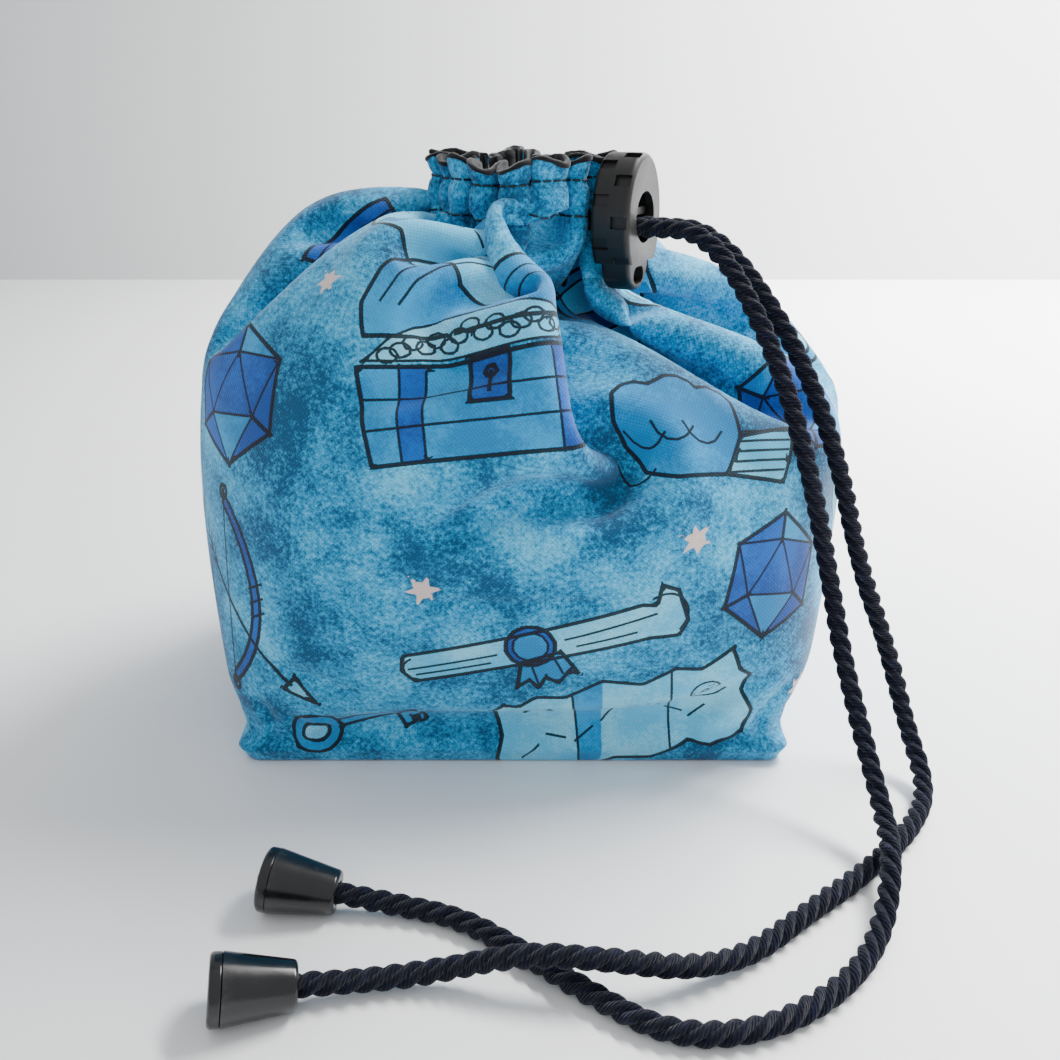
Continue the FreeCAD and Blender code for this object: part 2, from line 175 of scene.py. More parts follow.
def make_stage():
    reach, wall_y, wall_top = 3000, 675, 2500
    ground = [(-reach, -reach, 0), (reach, -reach, 0), (reach, wall_y, 0), (-reach, wall_y, 0)]
    upright = [(-reach, wall_y, 0), (reach, wall_y, 0), (reach, wall_y, wall_top), (-reach, wall_y, wall_top)]
    floor = fast_mesh("floor", ground, [(0, 1, 2, 3)], rounded=False)
    floor.data.materials.append(plain_material("floor_pale", srgb("#F4F5F6"), 0.45))
    wall = fast_mesh("wall", upright, [(0, 1, 2, 3)], rounded=False)
    wall.data.materials.append(plain_material("wall_pale", srgb("#CBCCCD"), 0.8))


def area_light(name, place, target, size, power, colour=(1, 1, 1)):
    data = bpy.data.lights.new(name, "AREA")
    data.shape, data.size, data.energy, data.color = "DISK", size, power, colour
    ob = bpy.data.objects.new(name, data)
    ob.location = place
    direction = np.array(target, float) - np.array(place, float)
    yaw = math.atan2(direction[0], -direction[1])
    tilt = math.atan2(math.hypot(direction[0], direction[1]), -direction[2])
    ob.rotation_euler = (tilt, 0, yaw)
    bpy.context.scene.collection.objects.link(ob)


def make_lights():
    area_light("window", (0.50, 0.30, 0.80), (0, 0, 0.06), 0.6, 72.0, (1.0, 0.99, 0.97))
    area_light("fill_left", (-0.9, -0.55, 0.7), (0, 0, 0.06), 1.0, 7.0, (0.93, 0.97, 1.0))
    area_light("front", (0.35, -1.0, 0.75), (0, 0, 0.05), 0.8, 20.0)
    world = bpy.data.worlds.new("studio")
    world.use_nodes = True
    world.node_tree.nodes["Background"].inputs["Color"].default_value = (0.94, 0.96, 0.98, 1)
    world.node_tree.nodes["Background"].inputs["Strength"].default_value = 0.95
    bpy.context.scene.world = world


# ---------------------------------------------------------------- cords
def tail_start(side):
    return NECK + OUTWARD * EXIT_DISTANCE + ACROSS * (side * CORD_SPACING / 2) + UP * EXIT_Z


ROUTE_A = [
    (54.5, -37, 96), (62.5, -45, 72), (68.5, -48, 48), (70.5, -55.5, 34), (73.5, -66, 20), (75.5, -77.5, 9.6),
    (73.5, -92, 8.2), (67.5, -106, FLOOR_Z), (57, -118, FLOOR_Z), (42.5, -126.5, FLOOR_Z),
    (27, -127.5, FLOOR_Z),
    (14, -118.5, FLOOR_Z), (2, -108.5, FLOOR_Z), (-9, -100.5, FLOOR_Z),
]
ROUTE_B = [
    (61, -29, 95), (71, -37, 71), (77.5, -38.5, 47), (86, -42, 26), (90.0, -48, 10.5), (91.5, -61, FLOOR_Z),
    (84, -74, FLOOR_Z), (70, -88, FLOOR_Z), (56, -99, FLOOR_Z), (43, -110, FLOOR_Z), (31, -115.5, 4.6),
    (18, -117, 8.0), (3, -115.5, 8.0), (-10, -114.5, 3.6),
]
BELL_L, BELL_R0, BELL_R1 = 14.5, 4.1, 6.4
KNOT_TAIL, BELL_LEAD = 4.4, 12.0
BELLS = {"a": ((-32.2, -96.1), (-1.0, 0.10)), "b": ((-35.4, -118.6), (-1.0, -0.24))}
# Control points in line with the exit: they keep the cords straight through the cord lock's travel
STRAIGHT_HOLD, LOCK_RUN = 10.0, 26.0


def bell_axis(letter):
    (x, y), heading = BELLS[letter]
    rise = math.atan((BELL_R1 - BELL_R0) / BELL_L)
    flat = unit(np.array([heading[0], heading[1], 0.0]))
    nose = np.array([x, y, BELL_R0 * math.cos(rise) + 0.02])
    return nose, flat * math.cos(rise) + UP * math.sin(rise)


def nurbs_line(points):
    """Points along the smooth line that has these control points, close together."""
    data = bpy.data.curves.new("route", "CURVE")
    data.dimensions, data.resolution_u = "3D", 24
    spline = data.splines.new("NURBS")
    spline.points.add(len(points) - 1)
    for control, p in zip(spline.points, points):
        control.co = (*[float(c) * MM for c in p], 1)
    spline.order_u, spline.use_endpoint_u = 3, True
    ob = bpy.data.objects.new("route", data)
    bpy.context.scene.collection.objects.link(ob)
    bpy.context.view_layer.update()
    mesh = bpy.data.meshes.new_from_object(ob)
    line = np.array([v.co[:] for v in mesh.vertices]) / MM
    bpy.data.objects.remove(ob)
    return line


def evenly(line, step):
    """The line again at even spacing, with its distances."""
    lengths = np.concatenate([[0], np.cumsum(np.linalg.norm(np.diff(line, axis=0), axis=1))])
    count = max(2, int(round(lengths[-1] / step)) + 1)
    at = np.linspace(0, lengths[-1], count)
    return np.stack([np.interp(at, lengths, line[:, i]) for i in range(3)], 1), at


def carried_frames(line, closed=False):
    """Unit tangent and two normals at each point, turning as little as possible."""
    if closed:
        tangent = unit(np.roll(line, -1, 0) - np.roll(line, 1, 0))
    else:
        tangent = unit(np.gradient(line, axis=0))
    normal = np.zeros_like(line)
    side = np.cross(tangent[0], UP)
    normal[0] = unit(side if np.linalg.norm(side) > 0.1 else np.cross(tangent[0], [1.0, 0, 0]))
    for i in range(1, len(line)):
        n = normal[i - 1] - tangent[i] * np.dot(normal[i - 1], tangent[i])
        normal[i] = n / np.linalg.norm(n)
    return tangent, normal, np.cross(tangent, normal)


STRAND_R, STRAND_OFFSET, TWIST_PITCH = 1.17, 0.98, 10.5


def rope_mesh(name, line, closed=False, sides=12):
    """Three strands twisted left-handed about a line."""
    line, at = evenly(line, 0.5)
    if closed:
        line, at = line[:-1], at[:-1]
    tangent, n1, n2 = carried_frames(line, closed)
    turns = round((at[-1] + 0.5) / TWIST_PITCH) if closed else at[-1] / TWIST_PITCH
    phase = -TAU * turns * at / at[-1]
    verts, quads, tris, along, around = [], [], [], [], []
    count = len(line)
    for strand in range(3):
        a = phase + strand * TAU / 3
        swell = 1 + 0.05 * np.sin(at * 0.9 + strand * 2.1)
        out = n1 * np.cos(a)[:, None] + n2 * np.sin(a)[:, None]
        centre = line + out * STRAND_OFFSET
        across = np.cross(tangent, out)
        first = sum(len(v) for v in verts)
        ring = []
        for k in range(sides):
            b = TAU * k / sides
            ring.append(centre + (out * math.cos(b) + across * math.sin(b)) * (STRAND_R * swell)[:, None])
        ring = np.stack(ring, 1).reshape(-1, 3)
        verts.append(ring)
        quads.append(first + tube_quads(count, sides, closed))
        along.append(np.repeat(at, sides))
        around.append(np.tile(np.arange(sides) / sides, count))
        if not closed:
            tris += cap_tris(first, first + (count - 1) * sides, sides)
    ob = fast_mesh(name, np.concatenate(verts), np.concatenate(quads), tris)
    along, around = np.concatenate(along), np.concatenate(around)
    set_attribute(ob, "strand", np.stack([along, around, np.zeros(len(along))], 1))
    return ob


def tube_mesh(name, line, radius, sides=10, closed=False):
    """A plain round tube about a line."""
    _tangent, n1, n2 = carried_frames(line, closed)
    turns = np.arange(sides) * TAU / sides
    ring = np.stack([line + (n1 * math.cos(b) + n2 * math.sin(b)) * radius for b in turns], 1)
    ends = () if closed else cap_tris(0, (len(line) - 1) * sides, sides)
    return fast_mesh(name, ring.reshape(-1, 3), tube_quads(len(line), sides, closed), ends)


def make_tails():
    """The two free cord tails. Returns their centre lines."""
    lines = {}
    for letter, side, route in (("a", -1, ROUTE_A), ("b", 1, ROUTE_B)):
        nose, axis = bell_axis(letter)
        start = tail_start(side)
        points = [start, start + OUTWARD * STRAIGHT_HOLD,
            start + OUTWARD * LOCK_RUN] + [np.array(p) for p in route]
        points += [nose - axis * BELL_LEAD, nose + axis * KNOT_TAIL]
        line, at = evenly(nurbs_line(points), 1.0)
        rope = dress(rope_mesh("cord_tail_" + letter, line), "cord", "drawcord_tail_" + letter)
        lines[letter] = line
    return lines


# ---------------------------------------------------------------- the bag's cloth
def base_outline(s):
    """The base's edge at cloth distance s. s runs from the left side seam along the front."""
    half_x, half_y = BASE_HALF
    corner = BASE_CORNER_R
    straight_x, straight_y = 2 * (half_x - corner), 2 * (half_y - corner)
    arc = corner * math.pi / 2
    total = 2 * straight_x + 2 * straight_y + 4 * arc
    at = (np.asarray(s, float) % GIRTH) / GIRTH * total
    out = np.zeros(at.shape + (2,))
    legs = [
        (straight_y / 2, (-half_x, 0), (0, -1)), (arc, (-half_x + corner, -half_y + corner), math.pi),
        (straight_x, (-half_x + corner, -half_y), (1, 0)),
        (arc, (half_x - corner, -half_y + corner), 1.5 * math.pi),
        (straight_y, (half_x, -half_y + corner), (0, 1)), (arc, (half_x - corner, half_y - corner), 0.0),
        (straight_x, (half_x - corner, half_y), (-1, 0)),
        (arc, (-half_x + corner, half_y - corner), 0.5 * math.pi),
        (straight_y / 2 + 1e-6, (-half_x, half_y - corner), (0, -1)),
    ]
    begin = 0.0
    for length, place, way in legs:
        here = (at >= begin) & (at <= begin + length)
        d = (at - begin)[here]
        if isinstance(way, tuple):
            out[here] = np.array(place) + d[:, None] * np.array(way)
        else:
            angle = way + d / corner
            out[here] = np.array(place) + corner * np.stack([np.cos(angle), np.sin(angle)], 1)
        begin += length
    return out


def oval_outline(s, half_x, half_y, square):
    """A superellipse's edge at cloth distance s, evenly spread."""
    angle = np.linspace(-math.pi, math.pi, 721)
    c, n = np.cos(angle), np.sin(angle)
    r = ((np.abs(c) / half_x) ** square + (np.abs(n) / half_y) ** square) ** (-1 / square)
    edge = np.stack([r * c, r * n], 1)
    lengths = np.concatenate([[0], np.cumsum(np.linalg.norm(np.diff(edge, axis=0), axis=1))])
    at = (np.asarray(s) % GIRTH) / GIRTH * lengths[-1]
    return np.stack([np.interp(at, lengths, edge[:, 0]), np.interp(at, lengths, edge[:, 1])], 1)


def neck_path(s, crest, valley, overhang=1.18):
    """The gathered neck's edge at cloth distance s: pleats of uneven width, deep enough to take up
    all the cloth."""
    widths = np.array([1 + 0.40 * wobble(i, 3) for i in range(PLEATS)])
    depths = np.array([1 + 0.22 * wobble(i, 8) for i in range(PLEATS)])
    widths *= TAU / widths.sum()
    starts = np.concatenate([[0], np.cumsum(widths)])[:-1]
    t = np.linspace(0, 1, 49)[:-1]
    angle = (starts[:, None] + widths[:, None] * (t - overhang * np.sin(TAU * t) / TAU)).ravel()
    dip = ((0.5 + 0.5 * np.cos(TAU * t)) ** 1.35)[None, :] * depths[:, None]
    lean = 0.060 * np.array([wobble(i, 5) for i in range(PLEATS)])[:, None] * np.sin(TAU * t)[None, :]
    angle = angle + lean.ravel() - math.pi

    def path(depth_scale):
        r = crest - (crest - valley) * depth_scale * dip.ravel()
        return np.stack([r * np.cos(angle), r * np.sin(angle)], 1)

    reach = 1 + 0.045 * np.repeat([wobble(i, 11) for i in range(PLEATS)],
        len(t)) * np.tile(np.sin(math.pi * t), PLEATS)
    edge = path(1.0) * reach[:, None]
    edge = np.concatenate([edge, edge[:1]])
    lengths = np.concatenate([[0], np.cumsum(np.linalg.norm(np.diff(edge, axis=0), axis=1))])
    at = (np.asarray(s) % GIRTH) / GIRTH * lengths[-1]
    return np.stack([np.interp(at, lengths, edge[:, 0]), np.interp(at, lengths, edge[:, 1])], 1), lengths[-1]


def neck_rows(s, v):
    """Places on the gathered neck for columns s and rows v, from the lower stitching to the top
    edge."""
    rows = []
    for row_v in v:
        up = (row_v - STITCH_LOW) / (CLOTH_TOP - STITCH_LOW)
        channel = math.sin(math.pi * min(1.0, max(0.0, (row_v - STITCH_LOW) / (STITCH_HIGH - STITCH_LOW))))
        flare = max(0.0, (row_v - STITCH_HIGH) / (CLOTH_TOP - STITCH_HIGH))
        crest = CREST_R - 0.5 + 0.9 * channel + 1.0 * flare
        valley = VALLEY_R + 0.3 * channel + 0.4 * flare
        edge, _ = neck_path(s, crest, valley)
        z = NECK_Z_LOW + (NECK_Z_TOP - NECK_Z_LOW) * up
        wave = 0.7 * np.sin(TAU * s / GIRTH * 3 + 0.8) + 0.5 * np.sin(TAU * s / GIRTH * 7 + 2.0)
        frill = 0.55 * np.sin(TAU * s / GIRTH * PLEATS * 1.5 + 1.0) + 0.4 * np.sin(TAU * s / GIRTH * 31)
        lift = wave * (0.4 + 0.6 * up) + frill * flare
        rows.append(np.concatenate([edge + NECK[:2], (z + lift)[:, None]], 1))
    return np.array(rows)


def first_guess(s, v):
    """The cloth's starting shape: the bag's form, folded along FOLDS, running into the pleats near
    the neck."""
    form = np.array(FORM, float)
    ring = neck_rows(s, [STITCH_LOW])[0]
    rows, shares = [], []
    for row_v in v:
        z, half_x, half_y, square = (np.interp(row_v, form[:, 0], form[:, i]) for i in range(1, 5))
        edge = oval_outline(s, half_x, half_y, square)
        low = smooth(np.array((row_v - 2) / 22))
        edge = base_outline(s) * (1 - low) + edge * low
        edge[:, 0] += NECK[0] * float(smooth(np.array((row_v - 60) / 60)))
        rows.append(np.concatenate([edge, np.full((len(s), 1), z)], 1))
        shares.append(float(smooth(np.array((row_v - 126) / (STITCH_LOW - 126)))) ** 1.2)
    p = np.array(rows)
    normals, pattern = unit(grid_normals(p)), valley_pattern(s, v)
    for i, share in enumerate(shares):
        folded = fold_to_girth(p[i], normals[i], pattern[i])
        p[i] = folded * (1 - share) + ring * share
    return p


def valley_pattern(s, v):
    """From 0 to 1, how far each point lies down in one of the valleys of FOLDS."""
    at = np.stack(np.meshgrid(s, v), -1)
    deep = np.zeros(at.shape[:2])
    for begin, end, width, strength in FOLDS:
        if strength > 0:
            continue
        begin, end = np.array(begin, float), np.array(end, float)
        line_s = begin[0] + (end[0] - begin[0]) * (at[..., 1] - begin[1]) / (end[1] - begin[1])
        gap = (at[..., 0] - line_s + GIRTH / 2) % GIRTH - GIRTH / 2
        ends = smooth((at[..., 1] - end[1] + 6) / 14)
        deep = np.maximum(deep, np.exp(-((gap / width) ** 2)) * ends * min(1.0, 0.5 - strength / 8))
    return deep


def fold_to_girth(row, normal, deep):
    """Sinks the valleys of one row just so far that the row is as long as the cloth is round."""
    low, high = 0.0, 16.0
    for _ in range(12):
        middle = (low + high) / 2
        bent = row - normal * (deep * middle)[:, None]
        around = np.linalg.norm(np.roll(bent, -1, 0) - bent, axis=1).sum()
        low, high = (middle, high) if around < GIRTH else (low, middle)
    return row - normal * (deep * low)[:, None]


def grid_normals(p):
    """Area-weighted outward normals of a grid that is closed along its columns."""
    along = np.roll(p, -1, 1) - np.roll(p, 1, 1)
    up = np.gradient(p, axis=0)
    return np.cross(along, up) / 2


def pull(p, a, b, rest, stiff, only_short=False):
    """Moves the ends of springs a to b half of the way each to their rest length."""
    gap = p[b] - p[a]
    length = np.linalg.norm(gap, axis=-1, keepdims=True)
    off = (length - rest) / np.maximum(length, 1e-6)
    if only_short:
        off = np.minimum(off, 0)
    move = gap * (0.5 * stiff * off)
    p[a] += move
    p[b] -= move


def spring_sets(rows, cols, pitch_s, pitch_v):
    """Index sets for the cloth's springs. No two springs in one set share a point."""
    sets = []

    def add(dr, dc, rest, stiff, only_short=False):
        """Springs from each point to the one dr rows and dc columns on."""
        r, c = np.meshgrid(np.arange(rows - dr), np.arange(cols), indexing="ij")
        if dr:
            group = (r // dr) % 2 if dc == 0 else r % 2
        else:
            group = (c // dc) % 2
        for part in (0, 1):
            keep = group == part
            ra, ca = r[keep], c[keep]
            rb, cb = ra + dr, (ca + dc) % cols
            sets.append(((ra * cols + ca), (rb * cols + cb), rest, stiff, only_short))

    diagonal = math.hypot(pitch_s, pitch_v)
    add(0, 1, pitch_s, 1.0)
    add(1, 0, pitch_v, 1.0)
    add(1, 1, diagonal, 0.35)
    add(1, -1, diagonal, 0.35)
    add(0, 2, 2 * pitch_s, 0.10, True)
    add(2, 0, 2 * pitch_v, 0.10, True)
    add(0, 4, 4 * pitch_s, 0.035, True)
    add(4, 0, 4 * pitch_v, 0.08, True)
    return sets


# Where the filling presses more (+) or the cloth is drawn in (-): from (s, v) to (s, v), width, strength
FOLDS = [
    ((131, 157), (126, 76), 6.5, -11.0), ((113, 157), (118, 80), 8.0, 4.5),
    ((139, 157), (143, 108), 3.6, -3.4),
    ((148, 157), (153, 112), 3.6, -3.0), ((135, 157), (136, 116), 2.5, 1.6),
    ((143.5, 157), (147, 114), 2.5, 1.6),
    ((160, 155), (186, 86), 6.0, -6.5), ((172, 147), (202, 96), 6.0, 1.8), ((150, 128), (168, 78), 5.0, 1.6),
    ((98, 157), (90, 96), 6.0, -4.0), ((84, 157), (74, 114), 5.0, -1.8), ((66, 157), (52, 112), 5.5, -2.6),
    ((44, 157), (30, 108), 6.0, -2.6), ((22, 157), (14, 116), 5.0, -2.4), ((200, 157), (212, 104), 6.0, -2.4),
    ((236, 157), (232, 108), 6.0, -2.6), ((258, 157), (262, 96), 6.5, -3.0),
    ((281, 157), (276, 112), 5.0, -2.4),
    ((303, 157), (310, 88), 7.0, -3.2), ((326, 157), (322, 110), 5.0, -2.4),
    ((349, 157), (356, 100), 6.5, -3.0),
    ((372, 157), (368, 110), 5.0, -2.2), ((396, 157), (404, 98), 6.0, -2.8),
    ((420, 157), (416, 114), 5.0, -2.4),
]
PRESS, WEIGHT, DRAG = 0.009, 0.002, 0.90  # millimetres a step, and the share of its speed a point keeps
CLOTH_GRID = (224, 86)  # columns and rows
RELAX_STEPS, RELAX_ROUNDS = 280, 3


def fold_map(s, v):
    """How hard the filling presses at each point of the cloth."""
    at = np.stack(np.meshgrid(s, v), -1)
    low = 0.85 + 0.15 * smooth((at[..., 1] - 12) / 60)
    high = 1 - 0.40 * smooth((at[..., 1] - 122) / 30)
    left_back = np.exp(-(((at[..., 0] + 45) % GIRTH - 62) / 42) ** 2) * smooth((at[..., 1] - 105) / 20)
    press = low * high + 2.4 * left_back
    for begin, end, width, strength in FOLDS:
        begin, end = np.array(begin, float), np.array(end, float)
        way = end - begin
        share = np.clip(((at - begin) @ way) / (way @ way), 0, 1)
        gap = np.linalg.norm(at - (begin + share[..., None] * way), axis=-1)
        fade = (1 - 0.55 * share) * (0.12 + 0.88 * smooth((STITCH_LOW - 4 - at[..., 1]) / 20))
        press += strength * fade * np.exp(-((gap / width) ** 2))
    return press


# The space the full bag takes up: height, half length, half width, squareness
ENVELOPE = np.array([
    (0, 62.75, 47, 8), (10, 66.6, 49.8, 6.5), (20, 71.0, 53, 4.8), (38, 78, 57.4, 3.4), (55, 80.5, 59.5, 2.7),
    (74, 79, 59, 2.4), (90, 74.5, 56.5, 2.2), (103, 67, 52, 2.1), (112, 58, 46, 2), (119, 48, 39, 2),
    (126, 38, 33, 2),
], float)


def keep_in_envelope(p, share):
    """Draws points that stand outside the bag's space part of the way back."""
    half_x, half_y, square = (np.interp(p[:, 2], ENVELOPE[:, 0], ENVELOPE[:, i]) for i in (1, 2, 3))
    half_x = half_x + np.where(p[:, 0] < 0, 9.0, 0.0) * smooth((p[:, 2] - 98) / 14)
    shift = 1.6 * smooth((p[:, 2] - 8) / 25)
    x, y = np.abs(p[:, 0] - shift) / half_x, np.abs(p[:, 1]) / half_y
    r = (x ** square + y ** square) ** (1 / square)
    scale = np.where(r > 1.0, (1.0 / np.maximum(r, 1e-6)) ** share, 1.0)
    p[:, 0] = shift + (p[:, 0] - shift) * scale
    p[:, 1] *= scale


# Behind and below the cord lock: how high the cloth may stand, by distance from the neck's axis
LOCK_BAY = np.array([(20.4, 104.0), (23.5, 101.5), (30, 99.5), (38, 99.0), (46, 99.0), (56, 97.0)])
BAY_HALF_W, BAY_FADE = 13.5, 7.0


def push_out_of_lock(p, most=1.2):
    """Keeps the cloth under the cord lock and off its travel."""
    local = p - NECK
    d, across = local @ OUTWARD, np.abs(local @ ACROSS)
    limit = np.interp(d, LOCK_BAY[:, 0], LOCK_BAY[:, 1], left=200.0, right=97.0)
    limit = limit + 30 * np.clip((across - BAY_HALF_W) / BAY_FADE, 0, 1) ** 1.5
    over = (d > LOCK_BAY[0, 0]) & (d < 60) & (across < BAY_HALF_W + BAY_FADE) & (p[:, 2] > limit)
    p[over, 2] -= np.minimum(p[over, 2] - limit[over], most)


def push_off_neck(p, body):
    """Keeps the body's upper folds outside the gathered neck."""
    out = p[body, :2] - NECK[:2]
    r = np.linalg.norm(out, axis=1)
    least = (CREST_R + 2.6) * smooth((p[body, 2] - 103) / 8)
    short = np.clip(least - r, 0, 1.0)
    p[body, :2] += out / np.maximum(r, 1e-6)[:, None] * short[:, None]


def push_off_cords(p, cords, side_points):
    """Keeps the cloth clear of the hanging cords."""
    q = p[side_points]
    gap = q[:, None, :] - cords[None, :, :]
    dist = np.linalg.norm(gap, axis=-1)
    nearest = dist.argmin(1)
    d = dist[np.arange(len(q)), nearest]
    close = d < CORD_D / 2 + 0.5
    if close.any():
        away = gap[np.arange(len(q)), nearest][close]
        inward = unit(away * 0.35 + (np.array([2.0, 5.0, 55.0]) - q[close]) * 0.012)
        q[close] += inward * (CORD_D / 2 + 0.5 - d[close])[:, None]
        p[side_points] = q


def relax_cloth(cords, steps, rounds):
    """Settles the cloth tube between the pinned base and the gathered neck, pressed out by its
    filling."""
    cols, rows = CLOTH_GRID
    s = np.arange(cols) * GIRTH / cols
    v = np.linspace(0, CLOTH_TOP, rows)
    p = first_guess(s, v)
    pinned = v >= STITCH_LOW - 0.1
    p[pinned] = neck_rows(s, v[pinned])
    for row in (0, 1, 2):
        wider = 1 + 0.0105 * row
        p[row, :, :2] = base_outline(s) * np.array([wider, wider + 0.004 * row])
        p[row, :, 2] = 0.35 + v[row] * 0.93
    pinned[:3] = True
    push_out_of_lock(p.reshape(-1, 3), 40.0)
    p[v >= STITCH_LOW - 0.1] = neck_rows(s, v[v >= STITCH_LOW - 0.1])
    held = np.repeat(pinned, cols)
    fixed = p.reshape(-1, 3)[held].copy()
    sets = spring_sets(rows, cols, GIRTH / cols, v[1])
    press = fold_map(s, v)[..., None]
    flat = p.reshape(-1, 3)
    speed = np.zeros_like(flat)
    ids = np.arange(rows * cols)
    side_points = ids[(np.repeat(v, cols) > 25) & (np.repeat(v, cols) < 150) & (np.tile(s,
        rows) > 120) & (np.tile(s, rows) < 250)]
    body = ids[np.repeat(v, cols) < 143]
    for step in range(steps):
        push = unit(grid_normals(flat.reshape(rows, cols, 3))) * press
        speed = speed * DRAG + push.reshape(-1, 3) * PRESS - UP * WEIGHT
        before = flat.copy()
        flat = flat + speed
        for _ in range(rounds):
            for a, b, rest, stiff, only_short in sets:
                pull(flat, a, b, rest, stiff, only_short)
            flat[held] = fixed
        flat[:, 2] = np.maximum(flat[:, 2], 0.3)
        keep_in_envelope(flat, 0.35)
        push_off_neck(flat, body)
        push_out_of_lock(flat)
        push_off_cords(flat, cords, side_points)
        flat[held] = fixed
        speed = np.clip(flat - before, -1.0, 1.0)
    return s, v, flat.reshape(rows, cols, 3)


def cubic(p, at, axis, wrap):
    """Smooth values of p along one axis at fractional indices."""
    p = np.moveaxis(p, axis, 0)
    n = len(p)
    i = np.floor(at).astype(int)
    f = (at - i).reshape(-1, *([1] * (p.ndim - 1)))

    def get(k):
        return p[(i + k) % n] if wrap else p[np.clip(i + k, 0, n - 1)]

    a, b, c, d = get(-1), get(0), get(1), get(2)
    out = b + 0.5 * f * (c - a + f * (2 * a - 5 * b + 4 * c - d + f * (3 * (b - c) + d - a)))
    return np.moveaxis(out, 0, axis)


class Cloth:
    """The settled cloth, which can be read at any fineness."""

    def __init__(self, s, v, p):
        self.cols, self.rows, self.p = len(s), len(v), p
        self.normals = unit(grid_normals(p))

    def at(self, s, v):
        """Grid of places and normals at columns s and rows v, in cloth millimetres."""
        ci = np.asarray(s) / GIRTH * self.cols
        ri = np.asarray(v) / CLOTH_TOP * (self.rows - 1)
        place = cubic(cubic(self.p, ri, 0, False), ci, 1, True)
        normal = cubic(cubic(self.normals, ri, 0, False), ci, 1, True)
        return place, unit(normal)


def seam_dip(s, v):
    """How far the surface is drawn in at the side seams and the stitching, in millimetres."""
    to_side = np.minimum(np.abs((s + GIRTH / 4) % (GIRTH / 2) - GIRTH / 4), 99)
    dip = 0.55 * np.exp(-((to_side / 0.8) ** 2)) - 0.25 * np.exp(-(((to_side - 2.6) / 1.8) ** 2))
    dip = dip[None, :] * np.ones((len(v), 1))
    pucker = 1 + 0.45 * np.sin(TAU * s / 2.6)[None, :]
    for stitch in (STITCH_LOW, STITCH_HIGH):
        dip = dip + (0.42 * np.exp(-(((v - stitch) / 0.85) ** 2)))[:, None] * pucker
    return dip


def sheet_mesh(name, place, normal, thickness):
    """A closed thin sheet: an outside, an inside and the rim between them. Grid of rows by columns,
    open both ways."""
    rows, cols = place.shape[:2]
    inner = place - normal * thickness
    verts = np.concatenate([place.reshape(-1, 3), inner.reshape(-1, 3)])
    r, c = np.meshgrid(np.arange(rows - 1), np.arange(cols - 1), indexing="ij")
    a = (r * cols + c).ravel()
    outside = np.stack([a, a + 1, a + cols + 1, a + cols], 1)
    back = rows * cols
    inside = outside[:, ::-1] + back
    edge = np.concatenate([
        np.arange(cols), np.arange(1, rows) * cols + cols - 1,
        (rows - 1) * cols + np.arange(cols - 2, -1, -1), np.arange(rows - 2, 0, -1) * cols,
    ])
    nxt = np.roll(edge, -1)
    rim = np.stack([nxt, edge, edge + back, nxt + back], 1)
    return fast_mesh(name, verts, np.concatenate([outside, inside, rim]))


def panel_span(which):
    """The cloth distances that a panel's two side seams lie at."""
    return (0.0, GIRTH / 2) if which == "front" else (GIRTH / 2, GIRTH)


def base_rows(edge, count, height):
    """Rows from the base's middle seam out to its edge, for the cloth under the bag."""
    share = np.linspace(0, 1, count + 1)[:-1][:, None, None]
    seam = edge * np.array([0.985, 0.0, 0.0]) + np.array([0, 0.0, height])
    rows = seam * (1 - share) + (edge * np.array([1, 1, 0]) + np.array([0, 0, height])) * share
    return rows


def outer_panel(cloth, which, step=0.92):
    """One printed panel, with its half of the base."""
    low, high = panel_span(which)
    s = np.linspace(low, high, int(round((high - low) / step)) + 1)
    v = np.linspace(0, CLOTH_TOP, int(round(CLOTH_TOP / step)) + 1)
    place, normal = cloth.at(s, v)
    place = place - normal * seam_dip(s, v)[..., None]
    under = base_rows(place[0], 16, 0.15)
    down = np.broadcast_to(-UP, under.shape)
    normal[0] = unit(normal[0] - UP)
    ob = sheet_mesh(
        "printed_cloth_" + which, np.concatenate([under, place]), np.concatenate([down, normal]), CLOTH_T
    )
    ink_s = np.concatenate([np.broadcast_to(s, (len(under), len(s))), np.broadcast_to(s, place.shape[:2])])
    ink_v = np.concatenate([np.linspace(-47, 0, len(under) + 1)[:-1], v])[:, None] * np.ones((1, len(s)))
    give_print(ob, ink_s.ravel(), ink_v.ravel())
    dress(ob, "printed_cotton", "outer_" + which + "_panel")


def widest_inside(r, reach):
    """The least radius within reach columns and three rows of each point, then softened."""
    least = r.copy()
    for shift in range(-reach, reach + 1):
        least = np.minimum(least, np.roll(r, shift, 1))
    low = least.copy()
    for shift in (1, 2, 3):
        low[shift:] = np.minimum(low[shift:], least[:-shift])
        low[:-shift] = np.minimum(low[:-shift], least[shift:])
    for _ in range(4):
        low = (np.roll(low, 1, 1) + low * 2 + np.roll(low, -1, 1)) / 4
        low[1:-1] = (low[:-2] + 2 * low[1:-1] + low[2:]) / 4
    return low


